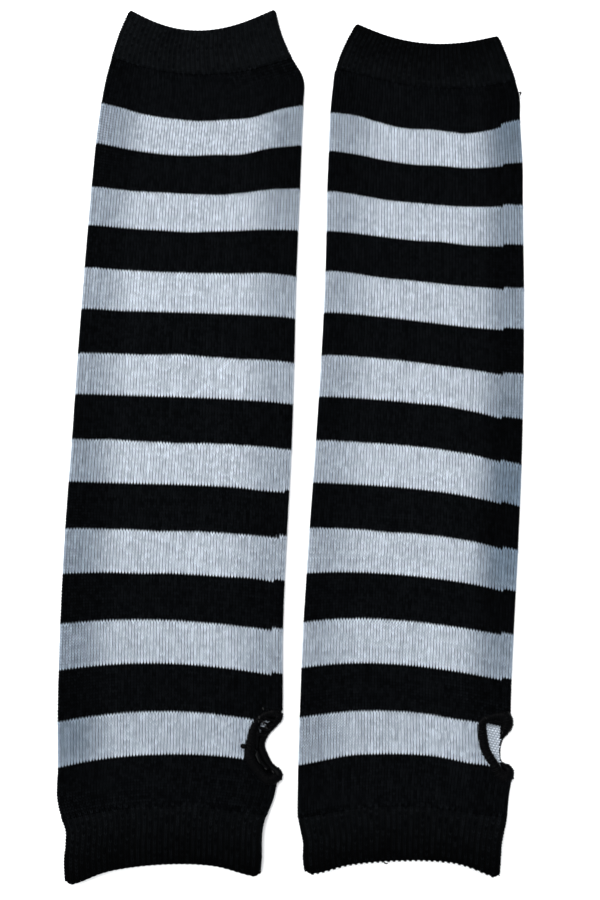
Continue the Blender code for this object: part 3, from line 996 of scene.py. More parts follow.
def mesh_of(shape: bmesh.types.BMesh, name: str, smooth: bool = True) -> bpy.types.Mesh:
    """Turns a closed shape under construction into a mesh.

    Args:
        shape: The shape, which is freed.
        name: The mesh's name.
        smooth: Whether its faces are shaded smoothly.

    Returns:
        The mesh, with faces that point outwards.
    """
    bmesh.ops.recalc_face_normals(shape, faces=shape.faces)
    mesh = bpy.data.meshes.new(name)
    shape.to_mesh(mesh)
    shape.free()
    if smooth:
        mesh.shade_smooth()
    return mesh


def unit(vectors: np.ndarray) -> np.ndarray:
    """The vectors at length 1."""
    return vectors / np.maximum(np.linalg.norm(vectors, axis=1, keepdims=True), LEAST_LENGTH)


def steps_round(on_face: int, on_fold: int) -> np.ndarray:
    """Places round a section, so many to each face and so many to each fold."""
    counts = (on_face, on_fold) * 2
    return np.concatenate([arc.value + np.arange(count) / count for arc, count in zip(Arc, counts)])


def counted_round(around: np.ndarray, on_face: float, on_fold: float) -> np.ndarray:
    """Wales or ribs counted up to places round a section, given how many a face and a fold hold."""
    starts = np.cumsum([0.0, on_face, on_fold, on_face, on_fold])
    return np.interp(around, np.arange(len(Arc) + 1.0), starts)


def every_pair(first: np.ndarray, second: np.ndarray) -> list[np.ndarray]:
    """Each value of the first with each of the second, which changes faster."""
    return [part.ravel() for part in np.meshgrid(first, second, indexing="ij")]


def frames_on(surface: Surface, along: np.ndarray, around: np.ndarray, lift: np.ndarray,
              wale_step: float, around_step: np.ndarray) -> tuple[np.ndarray, ...]:
    """Points on a surface with the directions that a stitch needs there.

    Args:
        surface: The surface's function of along, around and lift.
        along: First coordinates.
        around: Second coordinates.
        lift: How far outside the surface.
        wale_step: Half a course's height in along's unit.
        around_step: Half a wale's width in around's unit.

    Returns:
        Points, unit directions up the wale, unit directions outwards, and the width of the
        wale in metres.
    """
    points = surface(along, around, lift)
    up = surface(along + wale_step, around, lift) - surface(along - wale_step, around, lift)
    across = surface(along, around + around_step, lift) - surface(along, around - around_step, lift)
    return points, unit(up), unit(np.cross(across, up)), np.linalg.norm(across, axis=1)


def grid_shell(name: str, grid: np.ndarray, uv: np.ndarray,
               attributes: dict[str, np.ndarray]) -> bpy.types.Object:
    """A closed shell from a grid that joins up in both directions.

    Args:
        name: The object's name.
        grid: Points, rows by columns by 3.
        uv: UV at each corner of the grid, rows + 1 by columns + 1 by 2.
        attributes: A number for each point, rows by columns, by name.

    Returns:
        The object, with faces that point outwards.
    """
    rows, columns = grid.shape[:2]
    row, column = np.meshgrid(np.arange(rows), np.arange(columns), indexing="ij")
    corners = [(row, column), (row, column + 1), (row + 1, column + 1), (row + 1, column)]
    faces = np.stack([(r % rows) * columns + c % columns for r, c in corners], axis=-1).reshape(-1, 4)
    places = np.stack([uv[r, c] for r, c in corners], axis=2).reshape(-1, 2)
    mesh = bpy.data.meshes.new(name)
    mesh.from_pydata(grid.reshape(-1, 3).tolist(), [], faces.tolist())
    layer = mesh.uv_layers.new(name="UVMap")
    layer.uv.foreach_set("vector", places.astype(np.float32).ravel())
    for attribute, values in attributes.items():
        made = mesh.attributes.new(attribute, "FLOAT", "POINT")
        made.data.foreach_set("value", values.astype(np.float32).ravel())
    checked = bmesh.new()
    checked.from_mesh(mesh)
    if checked.calc_volume(signed=True) < 0:
        bmesh.ops.reverse_faces(checked, faces=checked.faces)
    checked.to_mesh(mesh)
    checked.free()
    mesh.shade_smooth()
    return linked(name, mesh)


def baked(thing: bpy.types.Object) -> bpy.types.Object:
    """Turns an object's modifiers into a plain mesh.

    Args:
        thing: The object, which keeps its name.

    Returns:
        The same object, with no modifier left.
    """
    bpy.context.view_layer.update()
    mesh = bpy.data.meshes.new_from_object(thing.evaluated_get(bpy.context.evaluated_depsgraph_get()))
    thing.modifiers.clear()
    if thing.type == "MESH":
        thing.data = mesh
        mesh.name = thing.name
        return thing
    name = thing.name
    bpy.data.objects.remove(thing, do_unlink=True)
    return linked(name, mesh)


def run_tree(thing: bpy.types.Object, tree: bpy.types.GeometryNodeTree,
             values: dict[str, object]) -> bpy.types.Object:
    """Runs a geometry tree on an object and keeps its result as a plain mesh.

    Args:
        thing: The object.
        tree: The tree.
        values: What the tree's named inputs get.

    Returns:
        The finished object.
    """
    modifier = thing.modifiers.new(tree.name, "NODES")
    modifier.node_group = tree
    for item in tree.interface.items_tree:
        if item.in_out == "INPUT" and item.name in values:
            modifier[item.identifier] = values[item.name]
    return baked(thing)


def tree_with(
        name: str, kinds: dict[str, str],
) -> tuple[bpy.types.GeometryNodeTree, TreeBuilder, bpy.types.bpy_prop_collection]:
    """A new geometry tree with its inputs and its one geometry output.

    Args:
        name: The tree's name.
        kinds: The kind of each input, by name.

    Returns:
        The tree, a builder on it, and the outputs of its Group Input node.
    """
    tree = bpy.data.node_groups.new(name, "GeometryNodeTree")
    for title, kind in {"Geometry": "Geometry", **kinds}.items():
        tree.interface.new_socket(title, in_out="INPUT", socket_type=f"NodeSocket{kind}")
    tree.interface.new_socket("Geometry", in_out="OUTPUT", socket_type="NodeSocketGeometry")
    build = TreeBuilder(tree)
    return tree, build, build.add("NodeGroupInput").outputs


def stitch_tree() -> bpy.types.GeometryNodeTree:
    """Lays a copy of one stitch on each point, turned and sized by the point's attributes.

    Returns:
        The tree.
    """
    tree, build, given = tree_with("lay_stitches", {
        "Stitch": "Object", "Size jitter": "Float", "Turn jitter": "Float", "Seed": "Int",
        "Yarn": "Material",
    })
    normal, wale, span = (
        build.add("GeometryNodeInputNamedAttribute", {"Name": name}, data_type="FLOAT_VECTOR").outputs[0]
        for name in ("normal_out", "wale", "span"))
    facing = build.add("FunctionNodeAxesToRotation", {0: normal, 1: wale},
                       primary_axis="Z", secondary_axis="Y")
    least = build.maths("MULTIPLY", given["Turn jitter"], -1.0)
    turn = build.add("FunctionNodeRandomValue", {2: least, 3: given["Turn jitter"], "Seed": given["Seed"]})
    spin = build.add("FunctionNodeAxisAngleToRotation", {"Axis": (0.0, 0.0, 1.0), "Angle": turn.outputs[1]})
    rotation = build.add("FunctionNodeRotateRotation", {0: facing.outputs[0], 1: spin.outputs[0]},
                         rotation_space="LOCAL")
    size = build.add("FunctionNodeRandomValue", {
        2: build.maths("SUBTRACT", 1.0, given["Size jitter"]),
        3: build.maths("ADD", 1.0, given["Size jitter"]),
        "Seed": build.maths("ADD", given["Seed"], 1.0),
    })
    stitch = build.add("GeometryNodeObjectInfo", {"Object": given["Stitch"]})
    laid = build.add("GeometryNodeInstanceOnPoints", {
        "Points": given["Geometry"],
        "Instance": stitch.outputs["Geometry"],
        "Rotation": rotation.outputs[0],
        "Scale": build.scaled(span, size.outputs[1]),
    })
    build.finish(laid.outputs[0], given["Yarn"])
    return tree


def wrap_tree() -> bpy.types.GeometryNodeTree:
    """Winds a thread round a closed route, as an overlock's loopers do round an edge.

    Returns:
        The tree.
    """
    tree, build, given = tree_with("wrap_thread", {
        "Turns": "Int", "Points a turn": "Int", "Roll radius": "Float", "Flatness": "Float",
        "Thread radius": "Float", "Start": "Float", "Wobble": "Float", "Seed": "Int", "Thread": "Material",
    })
    count = build.maths("MULTIPLY", given["Turns"], given["Points a turn"])
    route = build.add("GeometryNodeResampleCurve", {"Curve": given["Geometry"], "Count": count},
                      mode="COUNT")
    index = build.add("GeometryNodeInputIndex").outputs[0]
    step = build.maths("DIVIDE", 2.0 * math.pi, given["Points a turn"])
    angle = build.maths("MULTIPLY_ADD", index, step, given["Start"])
    ahead = build.add("GeometryNodeInputTangent").outputs[0]
    sideways = build.vector_maths("NORMALIZE", build.vector_maths("CROSS_PRODUCT", ahead, (0.0, 0.0, 1.0)))
    width = build.add("GeometryNodeInputRadius").outputs[0]
    reach = build.maths("MULTIPLY", width, given["Roll radius"])
    out = build.scaled(sideways, build.maths("MULTIPLY", build.maths("COSINE", angle), reach))
    rise = build.maths("MULTIPLY", build.maths("SINE", angle), reach)
    up = build.add("ShaderNodeCombineXYZ", {2: build.maths("MULTIPLY", rise, given["Flatness"])}).outputs[0]
    shake = build.add("FunctionNodeRandomValue", {
        0: build.even_vector(build.maths("MULTIPLY", given["Wobble"], -1.0)),
        1: build.even_vector(given["Wobble"]),
        "Seed": given["Seed"],
    }, data_type="FLOAT_VECTOR").outputs[0]
    offset = build.vector_maths("ADD", build.vector_maths("ADD", out, up), shake)
    wound = build.add("GeometryNodeSetPosition", {"Geometry": route.outputs[0], "Offset": offset})
    thinning = build.maths("POWER", width, THREAD_THINNING)
    even = build.add("GeometryNodeSetCurveRadius", {"Curve": wound.outputs[0], "Radius": thinning})
    profile = build.add("GeometryNodeCurvePrimitiveCircle", {
        "Resolution": THREAD_SIDES, "Radius": given["Thread radius"],
    })
    solid = build.add("GeometryNodeCurveToMesh", {
        "Curve": even.outputs[0], "Profile Curve": profile.outputs[0],
    })
    build.finish(solid.outputs[0], given["Thread"])
    return tree


@dataclass(frozen=True)
class StitchForm:
    """One knit stitch: two legs that part as they rise, in metres at the usual pitch."""

    wale_pitch: float = 0.00122
    course_pitch: float = 0.00112
    foot_out: float = 0.00006
    head_out: float = 0.00047
    foot_y: float = -0.00050
    head_y: float = 0.00156
    half_width: float = 0.00025
    crown: float = 0.00012
    rise: float = 0.00044
    side_rise: float = 0.00004
    tip_depth: float = 0.00010
    slant: float = 0.00034
    thickest: float = 0.43

    def leg(self, mesh: bmesh.types.BMesh, uv: bmesh.types.BMLayerItem, foot: Vector, head: Vector,
            hand: float = 0.0) -> None:
        """Adds one closed leg, pointed at both ends.

        Args:
            mesh: The mesh that it is added to.
            uv: The UV layer, which gets the place along the leg and round it.
            foot: Lower tip.
            head: Upper tip.
            hand: 1 for the leg on the right, -1 for that on the left and 0 for neither.
        """
        axis = (head - foot).normalized()
        sideways = Vector((axis.y, -axis.x, 0.0))
        middle = foot.lerp(head, self.thickest)
        offsets = ((-self.half_width, self.side_rise), (-self.crown, self.rise), (self.crown, self.rise),
                   (self.half_width, self.side_rise))
        tips = [mesh.verts.new(foot), mesh.verts.new(head)]
        ring = []
        for out, up in offsets:
            place = middle + sideways * out + axis * (self.slant * hand * out / self.half_width)
            ring.append(mesh.verts.new((place.x, place.y, up)))
        for i, vertex in enumerate(ring):
            following = ring[(i + 1) % len(ring)]
            for tip, turned in ((tips[0], True), (tips[1], False)):
                face = mesh.faces.new((following, vertex, tip) if turned else (vertex, following, tip))
                for loop in face.loops:
                    if loop.vert is tip:
                        loop[uv].uv = (i / 4 + 0.125, 0.0 if turned else 1.0)
                    else:
                        loop[uv].uv = ((i + (loop.vert is following)) / 4, 0.5)

    def to_object(self, name: str) -> bpy.types.Object:
        """The stitch as an object, in the plane of x across the wale and y up it.

        Args:
            name: The object's name.

        Returns:
            The object, linked to the scene.
        """
        mesh = bmesh.new()
        uv = mesh.loops.layers.uv.new("UVMap")
        for hand in (-1.0, 1.0):
            foot = Vector((hand * self.foot_out, self.foot_y, -self.tip_depth))
            head = Vector((hand * self.head_out, self.head_y, -self.tip_depth))
            self.leg(mesh, uv, foot, head, hand)
        return linked(name, mesh_of(mesh, name))


@dataclass(frozen=True)
class PurlForm(StitchForm):
    """One half of a purl bump, seen on the inside of the cloth: a short bar across the wale."""

    half_width: float = 0.00034
    crown: float = 0.00014
    rise: float = 0.00040
    reach: float = 0.62

    def to_object(self, name: str) -> bpy.types.Object:
        """The bar as an object, in the plane of x across the wale and y up it.

        Args:
            name: The object's name.

        Returns:
            The object, linked to the scene.
        """
        mesh = bmesh.new()
        uv = mesh.loops.layers.uv.new("UVMap")
        half = self.reach * self.wale_pitch
        self.leg(mesh, uv, Vector((-half, 0.0, -self.tip_depth)), Vector((half, 0.0, -self.tip_depth)))
        return linked(name, mesh_of(mesh, name))


@dataclass
class Tools:
    """Stitches, trees and materials that both warmers share."""

    silver: bpy.types.Material
    black: bpy.types.Material
    bed: bpy.types.Material
    rib_bed: bpy.types.Material
    thread: bpy.types.Material
    stitches: bpy.types.GeometryNodeTree = field(default_factory=stitch_tree)
    wraps: bpy.types.GeometryNodeTree = field(default_factory=wrap_tree)
    stitch: bpy.types.Object = field(default_factory=lambda: StitchForm().to_object("one_stitch"))
    purl: bpy.types.Object = field(default_factory=lambda: PurlForm().to_object("one_purl_bar"))
    jitter: float = 0.08

    def lay(self, bed: StitchBed, name: str, yarn: Yarn, seed: int,
            form: bpy.types.Object | None = None) -> bpy.types.Object:
        """Lays stitches on their points.

        Args:
            bed: The points.
            name: The piece's name.
            yarn: The yarn's colour.
            seed: Seed of the small differences between stitches.
            form: The stitch, or None for the plain one.

        Returns:
            The piece.
        """
        return run_tree(bed.to_object(name), self.stitches, {
            "Stitch": form or self.stitch,
            "Size jitter": self.jitter,
            "Turn jitter": self.jitter,
            "Seed": seed,
            "Yarn": self.silver if yarn is Yarn.SILVER else self.black,
        })

    def put_away(self) -> None:
        """Removes the patterns that the pieces were made from."""
        for thing in (self.stitch, self.purl):
            bpy.data.objects.remove(thing, do_unlink=True)


def inside_outline(points: np.ndarray, outline: Sequence[tuple[float, float]]) -> np.ndarray:
    """Which points lie inside a closed plan outline.

    Args:
        points: Points in metres, one a row.
        outline: The outline's corners in millimetres.

    Returns:
        A mask with a value for each point.
    """
    x, y = points[:, 0] / MM, points[:, 1] / MM
    inside = np.zeros(len(points), bool)
    for (x0, y0), (x1, y1) in zip(outline, list(outline[1:]) + [outline[0]]):
        if y0 == y1:
            continue
        crosses = (y0 > y) != (y1 > y)
        inside ^= crosses & (x < x0 + (y - y0) * (x1 - x0) / (y1 - y0))
    return inside


@dataclass(frozen=True)
class Winding:
    """A thread wound round the edging: its reach is a share of the roll's, its radius in metres."""

    title: str
    turns: int
    points_a_turn: int
    reach: float
    radius: float
    start: float
    seed: int
    wobble: float = 0.00008


WINDINGS = (
    Winding("edging_wraps", turns=118, points_a_turn=8, reach=0.98, radius=0.00023, start=0.0, seed=3),
    Winding("edging_loops", turns=34, points_a_turn=24, reach=1.06, radius=0.00017, start=1.3, seed=4),
)


@dataclass
class ThumbSlit:
    """The slit for the thumb and the overlocked roll round it."""

    pattern: Pattern
    roll_radius: float = 0.0016
    flatness: float = 0.65
    beyond_fold: float = 6.0
    plate_overlap: float = 0.0003
    core_share: float = 0.97
    thread_reach: float = 0.00036
    steps: int = 160
    sides: int = 12

    def outline(self, front: bool) -> list[tuple[float, float]]:
        """Plan outline of what the slit takes from the front or the back, in millimetres.

        Args:
            front: True for the front.

        Returns:
            The outline's corners.
        """
        route = self.pattern.route
        upper, lower = route[-1], route[FRONT_POINTS]
        middle = route[:FRONT_POINTS] if front else tuple(reversed(route[FRONT_POINTS + 1:-1]))
        reach = upper.x + self.beyond_fold
        top = upper.y + self.roll_radius / MM
        bottom = lower.y - self.roll_radius / MM
        corners = [(upper.x, top)] + [(point.x, point.y) for point in middle]
        return corners + [(lower.x, bottom), (reach, bottom), (reach, top)]

    def plate(self, name: str, front: bool, low: float, high: float) -> bpy.types.Object:
        """A flat plate with the slit's outline, to cut with.

        Args:
            name: The object's name.
            front: True for the front's outline.
            low: Height of its underside.
            high: Height of its top.

        Returns:
            The plate.
        """
        mesh = bmesh.new()
        ring = [mesh.verts.new((x * MM, y * MM, low)) for x, y in self.outline(front)]
        face = mesh.faces.new(ring)
        made = bmesh.ops.extrude_face_region(mesh, geom=[face])["geom"]
        raised = [item for item in made if isinstance(item, bmesh.types.BMVert)]
        bmesh.ops.translate(mesh, verts=raised, vec=(0.0, 0.0, high - low))
        return linked(name, mesh_of(mesh, name, smooth=False))

    def cut(self, shell: bpy.types.Object, middle: float, height: float) -> None:
        """Cuts the slit through the front and the back of a shell.

        Args:
            shell: The tube's shell.
            middle: Height between front and back.
            height: Height of the cloth.
        """
        plates = (self.plate("front_plate", True, middle - self.plate_overlap, 2 * height),
                  self.plate("back_plate", False, -height, middle + self.plate_overlap))
        for plate in plates:
            modifier = shell.modifiers.new(plate.name, "BOOLEAN")
            modifier.operation = "DIFFERENCE"
            modifier.solver = "EXACT"
            modifier.object = plate
        baked(shell)
        for plate in plates:
            bpy.data.objects.remove(plate, do_unlink=True)

    def route_points(self) -> np.ndarray:
        """Points on a smooth closed curve through the route, with the width as a fourth column.

        Returns:
            An array with a row for each step.
        """
        rows = np.array([(p.x * MM, p.y * MM, p.height, p.width) for p in self.pattern.route])
        clear = self.roll_radius * self.flatness * rows[:, 3] + self.thread_reach
        rows[:, 2] = np.maximum(rows[:, 2], clear)
        place = np.arange(self.steps) * len(rows) / self.steps
        low = place.astype(int)
        t = (place - low)[:, None]
        before, start, end, after = (rows[(low + shift) % len(rows)] for shift in (-1, 0, 1, 2))
        bend = 2 * before - 5 * start + 4 * end - after
        twist = 3 * start - before - 3 * end + after
        return 0.5 * (2 * start + (end - before) * t + bend * t * t + twist * t ** 3)

    def core(self, name: str) -> bpy.types.Object:
        """The oval roll of cloth and thread under the wraps.

        Args:
            name: The object's name.

        Returns:
            The roll.
        """
        route = self.route_points()
        ahead = np.roll(route[:, :3], -1, axis=0) - np.roll(route[:, :3], 1, axis=0)
        sideways = unit(np.cross(ahead, (0.0, 0.0, 1.0)))
        angles = 2 * np.pi * np.arange(self.sides) / self.sides
        reach = (self.roll_radius * self.core_share * route[:, 3])[:, None, None]
        out = sideways[:, None, :] * np.cos(angles)[None, :, None] * reach
        up = np.zeros_like(out)
        up[:, :, 2] = np.sin(angles)[None, :] * reach[:, :, 0] * self.flatness
        grid = route[:, None, :3] + out + up
        shares = (np.arange(count + 1) / count for count in (self.steps, self.sides))
        return grid_shell(name, grid, np.stack(np.meshgrid(*shares, indexing="ij"), axis=-1), {})

    def route_curve(self, name: str) -> bpy.types.Object:
        """The route as a closed curve whose radius is the roll's share of its full width.

        Args:
            name: The object's name.

        Returns:
            The curve, linked to the scene.
        """
        curve = bpy.data.curves.new(name, "CURVE")
        curve.dimensions = "3D"
        spline = curve.splines.new("POLY")
        spline.points.add(self.steps - 1)
        for point, (x, y, z, width) in zip(spline.points, self.route_points()):
            point.co = (x, y, z, 1.0)
            point.radius = width
        spline.use_cyclic_u = True
        return linked(name, curve)

    def build(self, tools: Tools) -> None:
        """Makes the edging: the roll, the dense wraps and the looser ones that cross them.

        Args:
            tools: Stitches, trees and materials.
        """
        pattern = self.pattern
        core = self.core(pattern.name("edging_roll"))
        core.data.materials.append(tools.thread)
        pieces = [core]
        for winding in WINDINGS:
            wraps = run_tree(self.route_curve(pattern.name(winding.title)), tools.wraps, {
                "Turns": winding.turns,
                "Points a turn": winding.points_a_turn,
                "Roll radius": self.roll_radius * winding.reach,
                "Flatness": self.flatness,
                "Thread radius": winding.radius,
                "Start": winding.start,
                "Wobble": winding.wobble,
                "Seed": winding.seed + pattern.seed,
                "Thread": tools.thread,
            })
            wraps.data.shade_smooth()
            pieces.append(wraps)
        for piece in pieces:
            finish_piece(piece)
        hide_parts(pattern.name("thumb_edging"))


def finish_piece(piece: bpy.types.Object) -> None:
    """Puts a finished piece on the body."""
    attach(piece, BODY)
    LOG.info("%s: %d triangles", piece.name, sum(len(face.vertices) - 2 for face in piece.data.polygons))


@dataclass
class StripedTube:
    """The striped tube between the two welts."""

    pattern: Pattern
    cloth: Cloth = Cloth(0.0013, 0.0042, 0.0009)
    stripe_courses: int = 16
    hand_courses: int = 18
    upper_courses: int = 18
    wales_past_fold: int = 3
    bed_depth: float = 0.00030
    seam_overlap: float = 0.2
    row_pitch: float = 2.6
    fold_steps: int = 8
    front_steps: int = 40
    # Painted shade by the folds: full within the first of these two distances from a fold and gone past the
    # second, in millimetres.
    shade_start: float = 7.0
    shade_end: float = 25.0
    tooth_width: float = -0.14
    tooth_length: float = 0.25
    head_length: float = 0.36
    head_tilt: float = 0.14
    head_reach: float = 0.35
    stitch_tone: float = 0.7
    wale_tone: float = 0.2
    course_tone: float = 0.1
    depth_least: float = 0.9
    depth_range: float = 0.2
    purl_margin: float = 6.0
    purl_course: float = 1.0
    purl_tone: float = 0.6
    purl_seed: int = 1
    welt_sections: int = 2

    def __post_init__(self) -> None:
        """Works out the courses."""
        self.form = FlatForm(self.pattern, self.cloth)
        self.slit = ThumbSlit(self.pattern)
        self.start = self.pattern.along("hand welt seam")
        self.finish = self.pattern.along("upper welt seam")
        self.feet, self.yarns = self.courses()

    def courses(self) -> tuple[np.ndarray, list[Yarn]]:
        """Where each course starts along the middle, with the tube's end last, and its yarn.

        Returns:
            The places in millimetres, one more than there are courses, and the yarns.
        """
        edges = [self.start]
        for stripe in self.pattern.stripes:
            edges += [stripe.foot, stripe.top - self.head_reach]
        edges.append(self.finish)
        counts = [self.hand_courses] + [self.stripe_courses] * (len(edges) - 3) + [self.upper_courses]
        feet: list[float] = []
        yarns: list[Yarn] = []
        for band, (low, high, count) in enumerate(zip(edges, edges[1:], counts)):
            feet += [low + (high - low) * i / count for i in range(count)]
            yarns += [Yarn.SILVER if band % 2 else Yarn.BLACK] * count
        return np.array(feet + [self.finish]), yarns

    def bed_lift(self, around: np.ndarray) -> np.ndarray:
        """How far the shell lies outside the part's outer face: below it under the stitches.

        Args:
            around: Places round the section, from 0 to 4.

        Returns:
            A lift for each place, in metres.
        """
        turned = np.where(around >= 2.0, 4.0 - around, around - 1.0)
        under = np.clip((np.where(around < 1.0, 0.0, turned) - 0.5) * 2.0, 0.0, 1.0)
        return -self.bed_depth * (1.0 - np.where((around >= 2.0) & (around < 3.0), 1.0, under))

    def surface(self, along: np.ndarray, around: np.ndarray, lift: np.ndarray) -> np.ndarray:
        """Points a lift outside the shell's outer face."""
        around = np.mod(around, 4.0)
        return self.form.place(along, around, lift + self.bed_lift(around))

    def around_of(self, wale: np.ndarray) -> np.ndarray:
        """Place round the section of a wale, counted from the left fold of the front.

        Args:
            wale: Wales counted, below zero on the left fold.

        Returns:
            A place from 0 to 4 for each wale.
        """
        a_wale = StitchForm.wale_pitch / (math.pi * self.form.half)
        wales = self.pattern.wales
        right = 1.0 + (wale - wales) * a_wale
        return np.where(wale < 0, 4.0 + wale * a_wale, np.where(wale > wales, right, wale / wales))

    def stitch_beds(self) -> dict[Yarn, StitchBed]:
        """Points for the stitches of the front and the folds, for each yarn.

        Returns:
            The points, by yarn.
        """
        random = np.random.default_rng(self.pattern.seed)
        wales = np.arange(-self.wales_past_fold, self.pattern.wales + self.wales_past_fold)
        courses = np.arange(len(self.yarns))
        course, wale = every_pair(courses, wales)
        heights = np.diff(self.feet)
        along = self.feet[course]
        around = self.around_of(wale + 0.5)
        on_fold = (wale < 0) | (wale >= self.pattern.wales)
        half_wale = np.where(on_fold, StitchForm.wale_pitch / (2 * math.pi * self.form.half),
                             0.5 / self.pattern.wales)
        points, up, normal, width = frames_on(self.surface, along, around, np.zeros(len(along)),
                                              float(heights.mean()) / 2, half_wale)
        span = np.ones((len(along), 3))
        span[:, 0] = width / StitchForm.wale_pitch
        span[:, 1] = heights[course] * MM / StitchForm.course_pitch
        by_wale = random.uniform(size=len(wales))[wale + self.wales_past_fold]
        by_course = random.uniform(size=len(courses))[course]
        tone = self.stitch_tone * random.uniform(size=len(along))
        tone = tone + self.wale_tone * by_wale + self.course_tone * by_course
        knitted = np.maximum(course - (wale >= self.jog_at(along)), 0)
        is_silver = np.array([yarn is Yarn.SILVER for yarn in self.yarns])
        silver = is_silver[knitted]
        changes = is_silver[1:] != is_silver[:-1]
        toothed = np.append(False, changes)[knitted]
        span[:, 0] *= 1.0 + self.tooth_width * toothed
        span[:, 1] *= 1.0 + self.tooth_length * toothed
        parted = silver & np.append(changes, False)[knitted]
        span[:, 1] *= 1.0 + self.head_length * parted
        normal = normal - self.head_tilt * parted[:, None] * up
        span[:, 2] = self.depth_least + self.depth_range * by_wale
        # Each stitch carries its painted shade by the folds as attribute side.
        bed = StitchBed(points, up, normal, span, tone, self.darkening(along, points[:, 0]))
        kept = ~inside_outline(points, self.slit.outline(True))
        return {Yarn.SILVER: bed.chosen(silver & kept), Yarn.BLACK: bed.chosen(~silver & kept)}

    def jog_at(self, along: np.ndarray) -> np.ndarray:
        """The wale at which the stripes step up, at places along in millimetres."""
        rows = self.pattern.jogs
        return np.interp(along, [row.along for row in rows], [row.wale for row in rows])

    def darkening(self, along: np.ndarray, x: np.ndarray) -> np.ndarray:
        """Painted shade: how much the yarn's colour is darkened towards the folds and across the middle.

        Args:
            along: Places along, in millimetres.
            x: Places across, in metres.

        Returns:
            A share of the yarn's brightness for each place.
        """
        rows = self.pattern.shades
        knots = [row.along for row in rows]
        left, middle, right = (np.interp(along, knots, [getattr(row, name) for row in rows])
                               for name in ("left", "middle", "right"))
        columns = self.form.columns(along)
        total = middle
        for fold, value in ((x / MM - columns[:, LEFT_X], left), (columns[:, RIGHT_X] - x / MM, right)):
            near = np.clip((self.shade_end - fold) / (self.shade_end - self.shade_start), 0.0, 1.0)
            total = total + (value - middle) * near * near * (3 - 2 * near)
        return np.clip(total, 0.0, 1.0)

    def purl_bed(self) -> StitchBed:
        """Points for the purl bars that show on the inside of the back, through the slit.

        Returns:
            The points.
        """
        random = np.random.default_rng(self.pattern.seed + self.purl_seed)
        low = self.pattern.route[FRONT_POINTS].y - self.purl_margin
        high = self.pattern.route[-1].y + self.purl_margin
        feet, silver = self.feet[:-1], np.array([yarn is Yarn.SILVER for yarn in self.yarns])
        feet = feet[(feet > low) & (feet < high) & silver]
        row, wale = every_pair(np.arange(len(feet)), np.arange(self.pattern.wales))
        around = 3.0 - (wale + 0.5 + 0.5 * (row % 2)) / self.pattern.wales
        lift = np.full(len(row), -self.cloth.wall)
        half_wale = np.full(len(row), 0.5 / self.pattern.wales)
        points, up, normal, _ = frames_on(self.form.place, feet[row], around, lift,
                                          self.purl_course / 2, half_wale)
        tone = random.uniform(0.0, self.purl_tone, size=len(row))
        bed = StitchBed(points, up, -normal, np.ones((len(row), 3)), tone, np.zeros(len(row)))
        front, back = (inside_outline(points, self.slit.outline(side)) for side in (True, False))
        return bed.chosen(front & ~back)

    def shell(self, name: str) -> bpy.types.Object:
        """The thin closed shell of the tube, outside and inside.

        Args:
            name: The object's name.

        Returns:
            The shell, linked to the scene.
        """
        steps = steps_round(self.front_steps, self.fold_steps)
        rows = round((self.finish - self.start) / self.row_pitch)
        places = np.linspace(self.start - self.seam_overlap, self.finish + self.seam_overlap, rows + 1)
        around, along = np.meshgrid(steps, places)
        shape = along.shape
        outer = self.surface(along.ravel(), around.ravel(), np.zeros(around.size)).reshape(*shape, 3)
        inward = np.full(around.size, -self.cloth.wall)
        inner = self.form.place(along.ravel(), around.ravel(), inward).reshape(*shape, 3)[::-1]
        grid = np.concatenate([outer, inner])
        inside = np.concatenate([np.zeros(shape), np.ones(shape)])
        # On top, the shell's colour gets painted shade under the modelled stitches, as attribute bedded,
        # and by the folds, as attribute side.
        on_top = (around < 1.5) | (around > 3.5)
        bedded = np.concatenate([on_top.astype(float), np.zeros(shape)])
        side = self.darkening(along.ravel(), outer[:, :, 0].ravel()).reshape(shape)
        side = np.concatenate([side * on_top, np.zeros(shape)])
        attributes = {"inside": inside, "bedded": bedded, "side": side}
        return grid_shell(name, grid, self.uv(steps, places), attributes)

    def uv(self, steps: np.ndarray, places: np.ndarray) -> np.ndarray:
        """Wales and courses counted at the corners of the shell's grid.

        Args:
            steps: The grid's places round the section.
            places: The grid's places along the middle, in millimetres.

        Returns:
            Rows by columns by 2, with one row and one column more than the grid.
        """
        fold_wales = math.pi * self.form.half / StitchForm.wale_pitch
        wales = self.pattern.wales
        wale = counted_round(np.append(steps, 4.0), wales, fold_wales)
        course = np.interp(places, self.feet, np.arange(len(self.feet)))
        course = np.concatenate([course, course[::-1], course[:1]])
        jog = self.jog_at(np.concatenate([places, places[::-1], places[:1]]))[:, None]
        wale, course = np.meshgrid(wale, course)
        jogged = (wale > jog) & (wale < wales + fold_wales / 2)
        return np.stack([wale, course - jogged], axis=-1)

    def build(self, tools: Tools) -> None:
        """Makes the tube's shell and its stitches.

        Args:
            tools: Stitches, trees and materials.
        """
        pattern = self.pattern
        shell = self.shell(pattern.name("knit_shell"))
        self.slit.cut(shell, self.form.half, self.cloth.height)
        shell.data.materials.clear()
        shell.data.materials.append(tools.bed)
        beds = self.stitch_beds()
        pieces = [tools.lay(beds[yarn], pattern.name(f"{yarn.value}_stitches"), yarn, pattern.seed)
                  for yarn in Yarn]
        pieces.append(tools.lay(self.purl_bed(), pattern.name("purl_side"), Yarn.SILVER,
                                pattern.seed, tools.purl))
        for piece in [shell, *pieces]:
            finish_piece(piece)
        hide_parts(pattern.name("striped_tube"))


